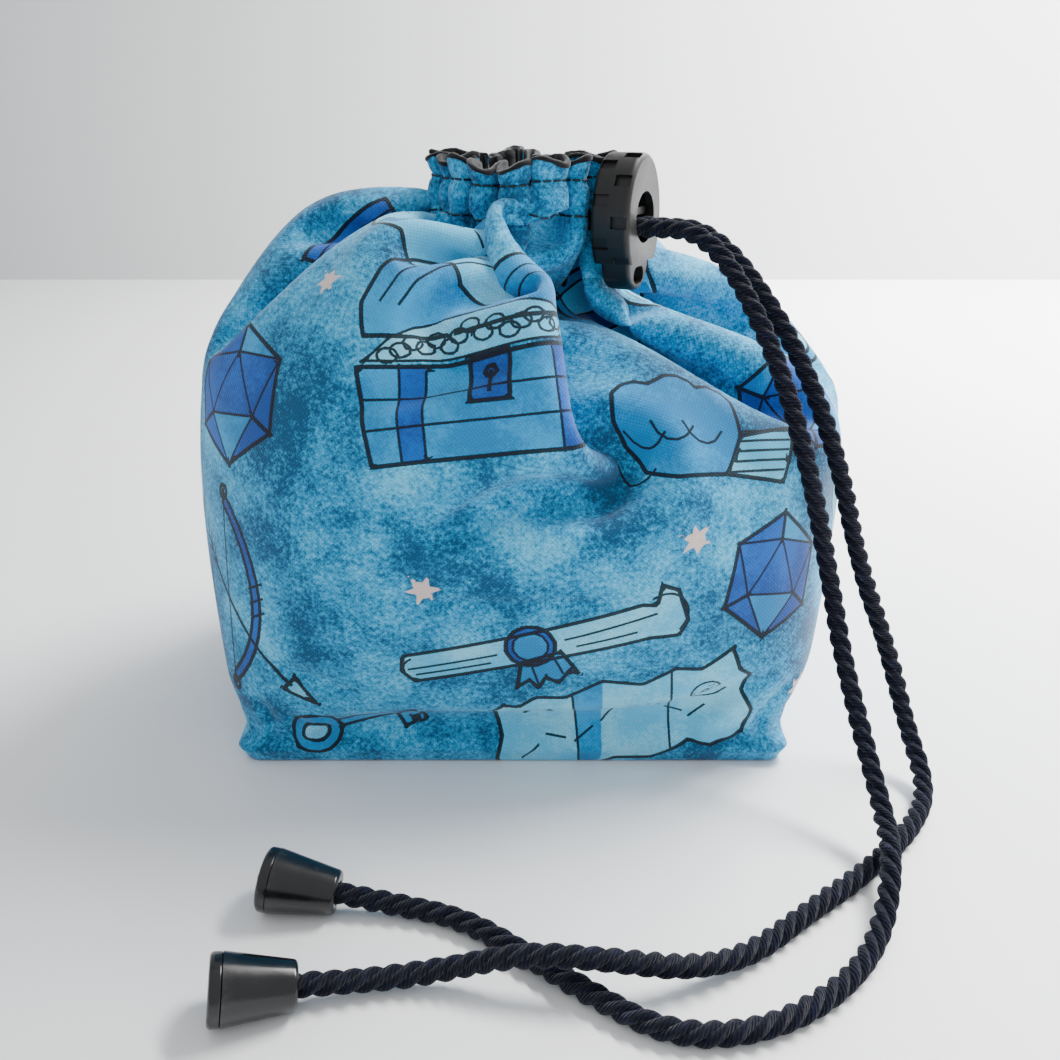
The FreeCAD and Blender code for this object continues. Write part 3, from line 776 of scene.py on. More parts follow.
def lining_shape(cloth, step=1.6):
    """The whole lining: inside every fold of the outer cloth, closed in round the mouth, up to the
    top edge."""
    s = np.arange(0, GIRTH, GIRTH / round(GIRTH / step))
    v = np.linspace(2.5, CLOTH_TOP + 0.3, int(round(CLOTH_TOP / step)) + 1)
    place, normal = cloth.at(s, np.minimum(v, CLOTH_TOP))
    place = place - normal * (CLOTH_T + LINING_GAP)
    out = place[..., :2] - NECK[:2]
    r = np.linalg.norm(out, axis=-1)
    taper = 70 - 58 * smooth((v - 100) / 52)
    body = np.minimum(widest_inside(r, 8) - 1.2, taper[:, None])
    drop = smooth((v - 88) / 34) * smooth((STITCH_LOW + 2 - v) / 9) * 10.0
    neck = 8.3 + np.maximum(r - 12.0, 0) * 0.55
    near_top = smooth((v - STITCH_HIGH + 3.5) / 6)[:, None]
    neck = np.minimum(neck * (1 - near_top) + (r - 0.2) * near_top, r)
    gathered = smooth((v - STITCH_LOW + 7) / 7)[:, None]
    r_new = body * (1 - gathered) + neck * gathered
    place[..., :2] = NECK[:2] + out * (r_new / np.maximum(r, 1e-6))[..., None]
    place[..., 2] -= drop[:, None]
    place = tuck_inside(cloth, v, place)
    return s, v, place, unit(grid_normals(place))


def cloth_tree(cloth):
    """A search tree of the outer cloth below the channel, with the outward direction at each of its
    faces."""
    s = np.arange(0, GIRTH, GIRTH / 360)
    outer, normal = cloth.at(s, np.linspace(0, STITCH_LOW + 1, 150))
    rows, cols = outer.shape[:2]
    r, c = np.meshgrid(np.arange(rows - 1), np.arange(cols), indexing="ij")
    quads = np.stack([r * cols + c, r * cols + (c + 1) % cols, (r + 1) * cols + (c + 1) % cols,
        (r + 1) * cols + c], -1)
    tree = BVHTree.FromPolygons(outer.reshape(-1, 3).tolist(), quads.reshape(-1, 4).tolist())
    return tree, normal[:-1].reshape(-1, 3)


def tuck_inside(cloth, v, place, gap=0.9, step=0.8, furthest=44.0):
    """Draws the lining towards the bag's middle wherever it would not lie inside the outer cloth."""
    tree, outward = cloth_tree(cloth)
    below = v < STITCH_LOW - 1
    start = place[below]
    way = unit(np.array([NECK[0], 0.0, 50.0]) - start)
    drawn = np.zeros(start.shape[:2])
    for _ in range(2):
        for index in np.ndindex(drawn.shape):
            while drawn[index] < furthest:
                point = start[index] + way[index] * drawn[index]
                near, _normal, face, _distance = tree.find_nearest(point)
                if float(np.dot(point - np.array(near), outward[face])) < -gap:
                    break
                drawn[index] += step
        wide = np.maximum(np.maximum(np.roll(drawn, 1, 1), np.roll(drawn, -1, 1)), drawn)
        wide[1:-1] = np.maximum(np.maximum(wide[:-2], wide[2:]), wide[1:-1])
        drawn = (np.roll(wide, 1, 1) + 2 * wide + np.roll(wide, -1, 1)) / 4
    place[below] = start + way * drawn[..., None]
    return place


def lining_panels(cloth):
    """The two lining panels, each half of the lining's shape with its half of the base."""
    s, v, whole, normals = lining_shape(cloth)
    half_way = len(s) // 2
    seams = {
        "front": ["side_seam_left", "corner_seam_left", "base_seam"],
        "back": ["side_seam_right", "corner_seam_right"],
    }
    for which, first in (("front", 0), ("back", half_way)):
        columns = (np.arange(half_way + 1) + first) % len(s)
        place, normal = whole[:, columns], normals[:, columns]
        under = base_rows(place[0], 12, place[0, :, 2].mean())
        down = np.broadcast_to(-UP, under.shape)
        ob = sheet_mesh("lining_cloth_" + which, np.concatenate([under, place]),
            np.concatenate([down, normal]), 0.3)
        dress(ob, "lining_cotton", "lining_" + which + "_panel", *seams[which])


def rolled_edge(cloth):
    """The lining turned over the outer cloth's top edge, a thin black rim right round."""
    count = 620
    s = np.arange(count) * GIRTH / count
    place, normal = cloth.at(s, [CLOTH_TOP - 1.6, CLOTH_TOP])
    up = unit(place[1] - place[0])
    out = normal[1]
    profile = [
        (0.16, -0.62), (0.24, -0.45), (0.26, 0.0), (0.14, 0.28), (-0.15, 0.42), (-0.55, 0.42), (-0.95, 0.3),
        (-1.12, 0.0), (-1.15, -1.2), (-0.8, -1.2), (-0.75, -0.1), (-0.35, 0.08), (-0.02, 0.06), (0.02, -0.62),
    ]
    fray = 1 + 0.25 * np.sin(s * 0.31) + 0.15 * np.sin(s * 1.7) + 0.10 * np.sin(s * 4.3 + 1)
    ring = np.stack([place[1] + out * a + up * (b * fray)[:, None] for a, b in profile], 1)
    quads = np.roll(tube_quads(count, len(profile), True)[:, ::-1], 1, 1)
    dress(fast_mesh("lining_rolled_edge", ring.reshape(-1, 3), quads), "lining_cotton")


def capsules(name, ends_a, ends_b, radius, outs, sides=8):
    """Short rounded threads from each of ends_a to its end in ends_b."""
    axis = unit(ends_b - ends_a)
    across = unit(np.cross(axis, outs))
    out = np.cross(across, axis)
    rings = [(0, -0.75, 0.45), (0, -0.35, 0.85), (0, 0.3, 1.0), (0.5, 0, 1.06), (1, -0.3, 1.0),
        (1, 0.35, 0.85), (1, 0.75, 0.45)]
    verts = []
    for share, beyond, width in rings:
        centre = ends_a * (1 - share) + ends_b * share + axis * (beyond * radius)
        for k in range(sides):
            b = TAU * k / sides
            verts.append(centre + (out * math.cos(b) * 0.8 + across * math.sin(b)) * (radius * width))
    verts = np.stack(verts, 1)
    quads = tube_quads(len(rings), sides)
    tris = np.array(cap_tris(0, (len(rings) - 1) * sides, sides))
    offset = (np.arange(len(ends_a)) * verts.shape[1])[:, None, None]
    return fast_mesh(name, verts.reshape(-1, 3), (quads + offset).reshape(-1, 4),
        (tris + offset).reshape(-1, 3))


THREAD_R = 0.24


def stitch_row(cloth, name, v, node):
    """A row of lockstitches round the gathered neck, sunk into the cloth."""
    spacing, length = 2.6, 1.75
    s = np.arange(0, GIRTH - 1e-3, spacing)
    ends = []
    for shift in (0.0, length):
        place, normal = cloth.at(s + shift, [v])
        ends.append(place[0] - normal[0] * 0.12)
    dress(capsules(name, ends[0], ends[1], THREAD_R, normal[0]), "thread", node)


def exit_bartacks():
    """Close zigzag stitching above and below the slot that the cords leave by."""
    ends_a, ends_b = [], []
    for z in (EXIT_Z - 3.6, EXIT_Z + 4.4):
        for i in range(15):
            across = -3.5 + i * 0.5
            centre = NECK + OUTWARD * 20.55 + ACROSS * across + UP * z
            lean = 0.16 * (1 if i % 2 else -1)
            ends_a.append(centre - UP * 0.6 - ACROSS * lean)
            ends_b.append(centre + UP * 0.6 + ACROSS * lean)
    outs = np.tile(OUTWARD, (len(ends_a), 1))
    ob = capsules("cord_exit_stitching", np.array(ends_a), np.array(ends_b), THREAD_R, outs)
    dress(ob, "thread", "cord_exit_bartacks")


def drawcord_in_channel():
    """The cord round the neck inside its channel, led out to the two tails."""
    radius, z = 10.2, NECK_Z_LOW + 4.0
    points = [tail_start(1) - OUTWARD * 0.3, NECK + OUTWARD * 15.5 + ACROSS * 2.4 + UP * 119.0]
    for i in range(15):
        angle = EXIT_ANGLE + math.radians(14 + i * (360 - 28) / 14)
        points.append(NECK + np.array([math.cos(angle), math.sin(angle), 0]) * radius + UP * z)
    points += [NECK + OUTWARD * 15.5 - ACROSS * 2.4 + UP * 119.0, tail_start(-1) - OUTWARD * 0.3]
    dress(rope_mesh("drawcord_in_channel", nurbs_line(points)), "cord", "drawcord_ring")


def stopper_knot(letter):
    """The overhand knot that holds a bell on its cord."""
    nose, axis = bell_axis(letter)
    side = unit(np.cross(axis, UP))
    up = np.cross(side, axis)
    t = np.linspace(0, TAU, 161)
    x, y, z = np.sin(t) + 2 * np.sin(2 * t), np.cos(t) - 2 * np.cos(2 * t), -np.sin(3 * t)
    line = nose + axis * 7.9 + (side * x[:, None] + up * y[:, None]) * 0.78 + axis * (z * 1.5)[:, None]
    ob = tube_mesh("stopper_knot_" + letter, line[:-1], 1.25, closed=True)
    set_attribute(ob, "strand", np.zeros((len(ob.data.vertices), 3)))
    dress(ob, "cord", "cord_knot_" + letter)


def coil_spring():
    """The cord lock's compression spring, built at its rest length and carried with the lock's body."""
    low, high, radius, wire_r, pitch = 121.3, 130.2, 2.2, 0.3, 1.6
    angle = np.linspace(0, TAU * (high - low) / pitch, 420)[:, None]
    line = LOCK_AXIS + (OUTWARD * np.cos(angle) + ACROSS * np.sin(angle)) * radius
    line = line + UP * (low + angle / TAU * pitch)
    ob = dress(tube_mesh("coil_spring", line, wire_r), "spring_steel", "lock_spring", body="lock")
    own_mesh(ob)


# ---------------------------------------------------------------- the print, drawn in cloth millimetres
THICK, THIN = 0.48, 0.28  # half widths of the ink lines
PALE, SKY, COBALT, STAR = range(4)  # the fill colours, later ones over earlier ones
INK_CHANNELS = 8


def ring_points(count, radius, turn=0.0, squash=1.0):
    """Points round a circle, or round an oval."""
    a = np.arange(count) * TAU / count + math.radians(turn)
    return [(radius * math.cos(x), radius * squash * math.sin(x)) for x in a]


def moved(points, dx, dy):
    return [(x + dx, y + dy) for x, y in points]


def arc_points(centre, radius, begin, end, count=9, squash=1.0):
    """Points along an arc, its angles in degrees."""
    angles = [math.radians(begin + (end - begin) * i / (count - 1)) for i in range(count)]
    return [(centre[0] + radius * math.cos(a), centre[1] + radius * squash * math.sin(a)) for a in angles]


def closed(points):
    return list(points) + [points[0]]


def star():
    """A small star with six uneven points."""
    rays = [5.0, 1.7, 4.3, 1.6, 4.8, 1.7, 4.4, 1.6, 5.1, 1.7, 4.2, 1.6]
    edge = [(r * math.cos(i * TAU / 12 + 0.2), r * math.sin(i * TAU / 12 + 0.2)) for i, r in enumerate(rays)]
    return [(STAR, edge)], []


def die():
    """A twenty-sided die seen face on."""
    rim, face = ring_points(6, 14, 30), ring_points(3, 8.2, 90)
    lines = [(closed(rim), THICK), (closed(face), THIN)]
    for i, corner in enumerate(face):
        for k in (-1, 0, 1):
            lines.append(([corner, rim[(1 + 2 * i + k) % 6]], THIN if k else THICK))
    facets = [(COBALT, rim), (SKY, [face[0], rim[0], rim[1]]), (SKY, [face[1], face[2], rim[4]])]
    return facets, lines


def chest():
    """An open treasure chest heaped with coins."""
    front = [(-20, -16), (19, -16), (21, 1), (-22, 1)]
    lid = [(-21, 6)] + arc_points((0, 9), 22, 172, 8, 9, 0.85) + [(21, 6)]
    heap = [(-21, 2)] + arc_points((0, 1), 20, 165, 15, 9, 0.42) + [(21, 2)]
    lines = [(closed(front), THICK), (closed(lid), THICK), (closed(heap), THIN)]
    lines += [([(-21, -4.5), (20.3, -4.5)], THIN), ([(-20.6, -10), (19.8, -10)], THIN)]
    lines += [(arc_points((0, 9), 15.5, 168, 12, 9, 0.8), THIN),
        (arc_points((0, 9), 18.8, 168, 12, 9, 0.8), THIN)]
    for x in (-13, 13):
        lines += [([(x - 2, -16), (x - 2.2, 1)], THIN), ([(x + 2, -16), (x + 2.2, 1)], THIN)]
    for i in range(17):
        x = -17 + i * 2.15
        y = 2.5 + 5.2 * (1 - (x / 19) ** 2) * (0.35 + 0.6 * (i * 7 % 5) / 5)
        lines.append((closed(moved(ring_points(8, 1.75, i * 20, 0.72), x, y)), THIN))
    lock = [(-3.2, -7), (3.2, -7), (3.6, 1.5), (-3.6, 1.5)]
    lines += [(closed(lock), THICK), (moved(ring_points(8, 1.0), 0, -1.5), THICK),
        ([(0, -2), (0, -5)], THICK)]
    fills = [(SKY, lid), (PALE, heap), (SKY, front), (COBALT, lock)]
    fills += [(COBALT, [(x - 2, -16), (x + 2, -16), (x + 2.2, 1), (x - 2.2, 1)]) for x in (-13, 13)]
    return fills, lines


def spiral(turns, growth, count=26):
    t = np.linspace(0, turns * TAU, count)
    return [(growth * a * math.cos(a) / TAU, growth * a * math.sin(a) / TAU) for a in t]


def chart():
    """A folded map with torn edges, a dashed path and a whirlpool."""
    top = [(-27, 9), (-24, 11.5), (-21, 10.5), (-17, 13), (-11, 12), (-3, 15.5), (5, 13), (12, 16),
        (17, 14.5), (24, 17.5)]
    side = [(25, 12), (27.5, 9), (26, 4), (28.5, -1), (27, -8)]
    bottom = [(19, -10), (14, -8), (6, -12), (-2, -11), (-10, -14.5), (-16, -12.5), (-25, -15), (-28, -8),
        (-26, -2)]
    edge = top + side + bottom
    lines = [(closed(edge), THICK), ([(-9.5, 12.3), (-10, -14)], THIN), ([(11, 15.5), (10, -9.8)], THIN)]
    path = [(-22, -8), (-16, -3), (-10, -5), (-4, -1), (0, 5), (6, 6), (10, 1), (15, -2), (20, 2)]
    for i in range(len(path) - 1):
        (x0, y0), (x1, y1) = path[i], path[i + 1]
        lines.append(([(x0, y0), (x0 + 0.55 * (x1 - x0), y0 + 0.55 * (y1 - y0))], THIN))
    lines.append((moved(spiral(1.9, 2.5), 18.5, 7.5), THIN))
    lines += [([(-20, 4), (-15, 8)], THICK), ([(-20, 8), (-15, 4)], THICK)]
    shade = [(-9.5, 12.3), (-3, 15.5), (5, 13), (11, 15.5), (10, -9.8), (6, -12), (-2, -11), (-10, -14)]
    return [(PALE, edge), (SKY, shade[:2] + [(-5, -11), (-10, -14)])], lines


def scroll():
    """A rolled letter with a round seal and a ribbon."""
    tube = [(-27, -4.4), (-29, -1), (-27.5, 3.2), (25, 4.2), (28, 3), (30, 7.5), (33, 5), (33.5, -3),
        (31, -6), (25, -4.6)]
    lines = [(closed(tube), THICK), ([(-27, -0.8), (-8, -0.6)], THIN), ([(8, 0.2), (27, 1)], THIN)]
    lines += [(arc_points((29.5, 0.2), 4.6, -60, 110, 8, 1.1), THIN),
        (arc_points((-26.5, -1), 2.0, 90, 270, 6, 1.4), THIN)]
    tails = [(-3, -4), (-5.5, -11), (-2.5, -9.5), (-1, -12.5), (1.2, -9.5), (3.6, -12), (6.5, -9),
        (8.5, -10.5), (6, -3)]
    seal = ring_points(12, 5.4, 0, 1.05)
    lines += [(closed(tails), THICK), (closed(seal), THICK), (closed(ring_points(10, 3.9, 0, 1.05)), THIN)]
    lines += [([(-1, -5.5), (-0.8, -11)], THIN), ([(4.2, -4.5), (5, -9)], THIN)]
    lines += [([(-25.5, -2.6), (-10, -2.6)], THIN), ([(10, -2.3), (22, -2.2)], THIN)]
    return [(PALE, tube), (SKY, tails), (COBALT, seal), (SKY, ring_points(10, 3.7, 0, 1.05))], lines


def bow():
    """A bow with an arrow across it."""
    outer = arc_points((-18, 0), 30, -52, 52, 13, 0.95)
    inner = arc_points((-18, 0), 27.6, 49, -49, 13, 0.95)
    lines = [(closed(outer + inner), THICK), ([outer[0], outer[-1]], THIN)]
    lines += [(closed(moved(ring_points(8, 1.6), *outer[-1])), THICK),
        (closed(moved(ring_points(8, 1.6), *outer[0])), THICK)]
    shaft = [(-10, 9), (17, -19)]
    head = [(15.3, -20.7), (22.5, -24.5), (18.7, -17.3)]
    lines += [(shaft, THICK), (closed(head), THICK)]
    for i in range(3):
        x, y = -10 + i * 2.2, 9 - i * 2.3
        lines += [([(x, y), (x - 4, y + 0.6)], THIN), ([(x, y), (x - 0.6, y + 4)], THIN)]
    for y in (-3.4, 0.0, 3.4):
        lines.append(([(9.3, y - 0.8), (12.6, y + 0.8)], THIN))
    return [(COBALT, outer + inner), (PALE, head)], lines


def glove():
    """A knitted mitten-like glove with a ribbed cuff."""
    hand = [(-13, -5), (-14, 1)] + arc_points((-9, 4), 5, 150, 60, 4) + arc_points((-1, 6), 5, 140, 50, 4)
    hand += arc_points((6, 5), 4.5, 130, 20, 4) + [(11, -1), (8, -9), (-2, -11), (-9, -10)]
    cuff = [(11, -1), (24, 4), (21.5, -8), (8, -9)]
    lines = [(closed(hand), THICK), (closed(cuff), THICK)]
    for x, y in ((-8.5, 3), (-3, 4.5), (3, 4.5), (-11, -4)):
        lines.append((arc_points((x, y - 3), 4.2, 200, 330, 6, 1.3), THIN))
    for i in range(5):
        y = 1.2 - i * 2.1
        lines.append(([(11.5 - i * 0.6, y - 1.2), (22.6 - i * 0.4, y + 1.6)], THIN))
    return [(SKY, hand), (PALE, cuff)], lines


def potion():
    """A round flask with a cork."""
    flask = [(-2.6, 15), (-2.6, 8.5)] + arc_points((0, -1.5), 10.3, 108, 432, 20) + [(2.6, 8.5), (2.6, 15)]
    liquid = arc_points((0, -1.5), 9.0, 175, 365, 14)
    cork = [(-2.1, 14.5), (2.1, 14.5), (2.8, 19), (-2.8, 19)]
    lines = [(closed(flask), THICK), (closed(liquid), THIN), (closed(cork), THICK),
        ([(-3.8, 14.6), (3.8, 14.6)], THICK)]
    for x, y, r in ((-3, -5, 1.5), (2.5, -3, 1.0), (0.5, -7, 1.2), (4.2, -6.6, 0.8)):
        lines.append((closed(moved(ring_points(8, r), x, y)), THIN))
    lines.append((arc_points((0, -1.5), 7.6, 118, 160, 5), THIN))
    return [(PALE, flask), (COBALT, liquid), (SKY, cork)], lines


def sword():
    """A short straight sword."""
    blade = [(-2.4, -4), (2.4, -4), (2.0, 22), (0, 27), (-2.0, 22)]
    guard = [(-9, -7.5), (-9.5, -4.6), (0, -3.6), (9.5, -4.6), (9, -7.5), (0, -6.6)]
    grip = [(-1.6, -7), (1.6, -7), (1.5, -16), (-1.5, -16)]
    lines = [(closed(blade), THICK), ([(0, -3.5), (0, 22)], THIN), (closed(guard), THICK),
        (closed(grip), THICK)]
    lines += [([(-1.6, y), (1.6, y + 1.3)], THIN) for y in (-9.5, -12, -14.5)]
    lines.append((closed(moved(ring_points(9, 2.5), 0, -18)), THICK))
    return [(PALE, blade), (COBALT, guard), (SKY, grip), (COBALT, moved(ring_points(9, 2.5), 0, -18))], lines


def key():
    """An old door key."""
    bow_ring, hole = moved(ring_points(14, 6), -11, 0), moved(ring_points(12, 3.2), -11, 0)
    shaft = [(-5.2, -1.3), (14, -1.3), (14, 1.3), (-5.2, 1.3)]
    teeth = [(8.5, -1.3), (8.5, -6.5), (11, -6.5), (11, -4.2), (12.2, -4.2), (12.2, -6.5), (14, -6.5),
        (14, -1.3)]
    lines = [(closed(x), THICK) for x in (bow_ring, hole, shaft, teeth)]
    return [(SKY, bow_ring), (SKY, shaft), (SKY, teeth), (PALE, hole)], lines


def shield():
    """A plain kite shield with a band across it."""
    edge = [(-11, 12), (0, 14), (11, 12), (11.5, 1), (7, -9), (0, -16), (-7, -9), (-11.5, 1)]
    inner = [(x * 0.8, y * 0.8) for x, y in edge]
    band = [(-9.2, 3), (9.2, 3), (9, -2.4), (-9, -2.4)]
    lines = [(closed(edge), THICK), (closed(inner), THIN), ([(-9.2, 3), (9.2, 3)], THIN),
        ([(-9, -2.4), (9, -2.4)], THIN)]
    lines += [(closed(moved(ring_points(7, 0.9), x, y)), THIN) for x,
        y in ((-9.8, 10), (9.8, 10), (0, -14.2))]
    return [(SKY, edge), (PALE, inner), (COBALT, band)], lines


def book():
    """A closed book with a clasp."""
    cover = [(-12, -14), (10, -14), (10, 15), (-12, 15)]
    pages = [(10, -13), (13, -11.5), (13, 13.5), (10, 15)]
    clasp = [(5, -2.4), (14.2, -2.4), (14.2, 3), (5, 3)]
    lines = [(closed(cover), THICK), (closed(pages), THICK), (closed(clasp), THICK),
        ([(-8.6, -14), (-8.6, 15)], THIN)]
    lines.append((closed(moved(ring_points(4, 5.4), 0, 0.5)), THIN))
    lines += [([(11, y), (12.4, y)], THIN) for y in (-9, -6, 6, 9, 12)]
    return [(COBALT, cover), (PALE, pages), (SKY, clasp), (SKY, moved(ring_points(4, 5.4), 0, 0.5))], lines


# Where the motifs lie on the two panels: s and v in cloth millimetres, turn in degrees, size
PLACES = [
    (chest, 97, 104, 16, 1.22), (scroll, 113, 39, 14, 0.98), (chart, 134, 13, 8, 1.05),
    (chart, 72, 137, -24, 0.95),
    (die, 41, 86, 8, 1.08), (die, 167, 49, -14, 1.0), (die, 192, 86, 20, 1.05), (bow, 42, 42, 4, 1.0),
    (glove, 152, 86, -22, 1.1), (star, 91, 53, 0, 1.0), (star, 147, 62, 25, 0.95), (star, 57, 113, 10, 0.9),
    (potion, 17, 60, -12, 1.0), (sword, 203, 40, 24, 1.0), (book, 24, 138, 30, 0.95), (star, 178, 18, 0, 0.9),
    (key, 75, 13, 20, 1.0), (shield, 168, 132, 16, 1.0), (star, 128, 128, 40, 0.9), (star, 12, 100, 15, 0.9),
    (potion, 205, 132, 25, 1.0), (chest, 250, 60, -14, 1.0), (scroll, 300, 98, -20, 0.95),
    (bow, 355, 70, 160, 1.0),
    (chart, 300, 30, 172, 1.0), (die, 262, 118, 15, 1.05), (shield, 344, 122, -12, 1.05),
    (sword, 400, 84, -30, 1.1),
    (book, 396, 34, 12, 1.05), (glove, 252, 15, 12, 0.95), (die, 352, 24, -10, 1.0),
    (key, 232, 104, 70, 1.05),
    (star, 278, 84, 10, 1.0), (star, 330, 60, 0, 0.9), (star, 372, 108, 20, 1.0), (star, 424, 60, 0, 0.95),
    (potion, 422, 128, -14, 1.0), (star, 226, 30, 0, 0.9), (die, 306, 140, 6, 1.0),
    (scroll, 378, 146, 8, 0.8),
    (key, 424, 14, -16, 0.9), (chart, 232, 148, 14, 0.9),
]


def segment_distances(x, y, points):
    """Signed distance to the line of the nearest piece of a drawn line, and plain distance to it."""
    points = np.asarray(points, float)
    best = np.full(x.shape, 99.0)
    signed = np.full(x.shape, 99.0)
    for (ax, ay), (bx, by) in zip(points[:-1], points[1:]):
        wx, wy = bx - ax, by - ay
        length = math.hypot(wx, wy) + 1e-9
        along = np.clip(((x - ax) * wx + (y - ay) * wy) / length ** 2, 0, 1)
        d = np.hypot(x - ax - along * wx, y - ay - along * wy)
        side = ((x - ax) * wy - (y - ay) * wx) / length
        near = d < best
        best, signed = np.where(near, d, best), np.where(near, side, signed)
    return signed, best


def polygon_distance(x, y, points):
    """Distance to a closed outline, negative inside."""
    _, best = segment_distances(x, y, closed(points))
    inside = np.zeros(x.shape, bool)
    for (ax, ay), (bx, by) in zip(points, list(points[1:]) + [points[0]]):
        crosses = (ay > y) != (by > y)
        at = ax + (y - ay) * (bx - ax) / (by - ay if by != ay else 1e-9)
        inside ^= crosses & (x < at)
    return np.where(inside, -best, best)


def draw_print(s, v):
    """For every point of the cloth: distances into each fill colour, and to the ink lines in each
    channel."""
    fills = np.full((4, len(s)), 9.0)
    ink = np.zeros((INK_CHANNELS, len(s), 3)) + np.array([9.0, 9.0, 0.0])
    for motif, at_s, at_v, turn, size in PLACES:
        for wrap in (-GIRTH, 0.0, GIRTH):
            near = np.flatnonzero((np.abs(s - at_s - wrap) < 40 * size) & (np.abs(v - at_v) < 40 * size))
            if not len(near):
                continue
            c, n = math.cos(math.radians(turn)) / size, math.sin(math.radians(turn)) / size
            dx, dy = s[near] - at_s - wrap, v[near] - at_v
            x, y = dx * c + dy * n, -dx * n + dy * c
            shapes, lines = motif()
            for colour, outline in shapes:
                into = polygon_distance(x, y, outline) * size
                for other in range(4):
                    kept = np.maximum(fills[other, near],
                        -into) if other > colour and colour != STAR else fills[other, near]
                    fills[other, near] = np.minimum(kept, into) if other == colour else kept
            for i, (points, half) in enumerate(lines):
                signed, plain = segment_distances(x, y, points)
                channel = ink[i % INK_CHANNELS]
                closer = plain * size < channel[near, 1]
                rows = near[closer]
                channel[rows] = np.stack([signed[closer] * size, plain[closer] * size,
                    np.full(len(rows), half)], 1)
    return fills, ink


def give_print(ob, s, v):
    """Cloth coordinates for the weave, and the drawing's distances. The inside of the cloth gets the
    same."""
    fills, ink = draw_print(s, v)
    both = [np.stack([s, v, np.full_like(s, layer)], 1) for layer in (0.0, 1.0)]
    set_attribute(ob, "cloth_mm", np.concatenate(both))
    set_attribute(ob, "fill_low", np.tile(fills[:3].T, (2, 1)))
    set_attribute(ob, "fill_star", np.tile(np.stack([fills[3], fills[3], fills[3]], 1), (2, 1)))
    for i, channel in enumerate(ink):
        set_attribute(ob, f"ink_{i}", np.tile(channel, (2, 1)))


# ---------------------------------------------------------------- materials
class Graph:
    """A material's node tree, written as nested calls."""

    def __init__(self, name):
        self.mat = bpy.data.materials.new(name)
        self.mat.use_nodes = True
        self.tree = self.mat.node_tree
        self.shader = self.tree.nodes["Principled BSDF"]

    def node(self, kind, inputs=(), **settings):
        n = self.tree.nodes.new("ShaderNode" + kind)
        for name, value in settings.items():
            setattr(n, name, value)
        for socket, value in dict(inputs).items():
            self.feed(n.inputs[socket], value)
        return n

    def feed(self, socket, value):
        if isinstance(value, bpy.types.NodeSocket):
            self.tree.links.new(value, socket)
        else:
            socket.default_value = value

    def math(self, op, a, b=0.0):
        return self.node("Math", {0: a, 1: b}, operation=op).outputs[0]

    def add(self, a, b):
        return self.math("ADD", a, b)

    def sub(self, a, b):
        return self.math("SUBTRACT", a, b)

    def mul(self, a, b):
        return self.math("MULTIPLY", a, b)

    def place(self):
        """The point in the object's own metres."""
        return self.node("TexCoord").outputs["Object"]

    def attribute(self, name):
        return self.node("Attribute", attribute_name=name).outputs["Vector"]

    def split(self, vector):
        return self.node("SeparateXYZ", {0: vector}).outputs

    def join(self, x, y, z=0.0):
        return self.node("CombineXYZ", {0: x, 1: y, 2: z}).outputs[0]

    def noise(self, vector, scale, detail=2.0, rough=0.5):
        n = self.node("TexNoise", {"Vector": vector, "Scale": scale, "Detail": detail, "Roughness": rough})
        return n.outputs["Fac"]

    def span(self, value, low, high, to_low=0.0, to_high=1.0, smooth_step=True):
        kind = "SMOOTHSTEP" if smooth_step else "LINEAR"
        n = self.node("MapRange", {0: value, 1: low, 2: high, 3: to_low, 4: to_high}, interpolation_type=kind)
        return n.outputs[0]

    def mix(self, share, a, b, blend="MIX"):
        n = self.node("Mix", data_type="RGBA", blend_type=blend)
        for i, value in ((0, share), (6, a), (7, b)):
            if not isinstance(value, (bpy.types.NodeSocket, float)) and len(value) == 3:
                value = (*value, 1)
            self.feed(n.inputs[i], value)
        return n.outputs[2]

    def bump(self, height, strength, distance):
        n = self.node("Bump", {"Height": height, "Strength": strength, "Distance": distance})
        return n.outputs[0]

    def finish(self, **sockets):
        for name, value in sockets.items():
            self.feed(self.shader.inputs[name.replace("_", " ")], value)
        return self.mat


THREAD_PITCH = 0.46


def weave(g, s, v):
    """The plain weave's height at cloth coordinates s and v."""
    a = g.mul(s, math.pi / THREAD_PITCH)
    b = g.mul(v, math.pi / THREAD_PITCH)
    over = g.mul(g.math("SINE", a), g.math("SINE", b))
    warp = g.math("ABSOLUTE", g.math("COSINE", a))
    weft = g.math("ABSOLUTE", g.math("COSINE", b))
    height = g.add(g.mul(over, 0.5), g.mul(g.add(warp, weft), -0.4))
    return height


def ink_share(g):
    """How much black ink there is, from every channel's distances."""
    nearest = None
    for i in range(INK_CHANNELS):
        signed, plain, half = g.split(g.attribute(f"ink_{i}"))[:3]
        edge = g.sub(g.math("ABSOLUTE", signed), half)
        end = g.sub(g.sub(plain, half), 0.5)
        here = g.math("MAXIMUM", edge, end)
        nearest = here if nearest is None else g.math("MINIMUM", nearest, here)
    return nearest


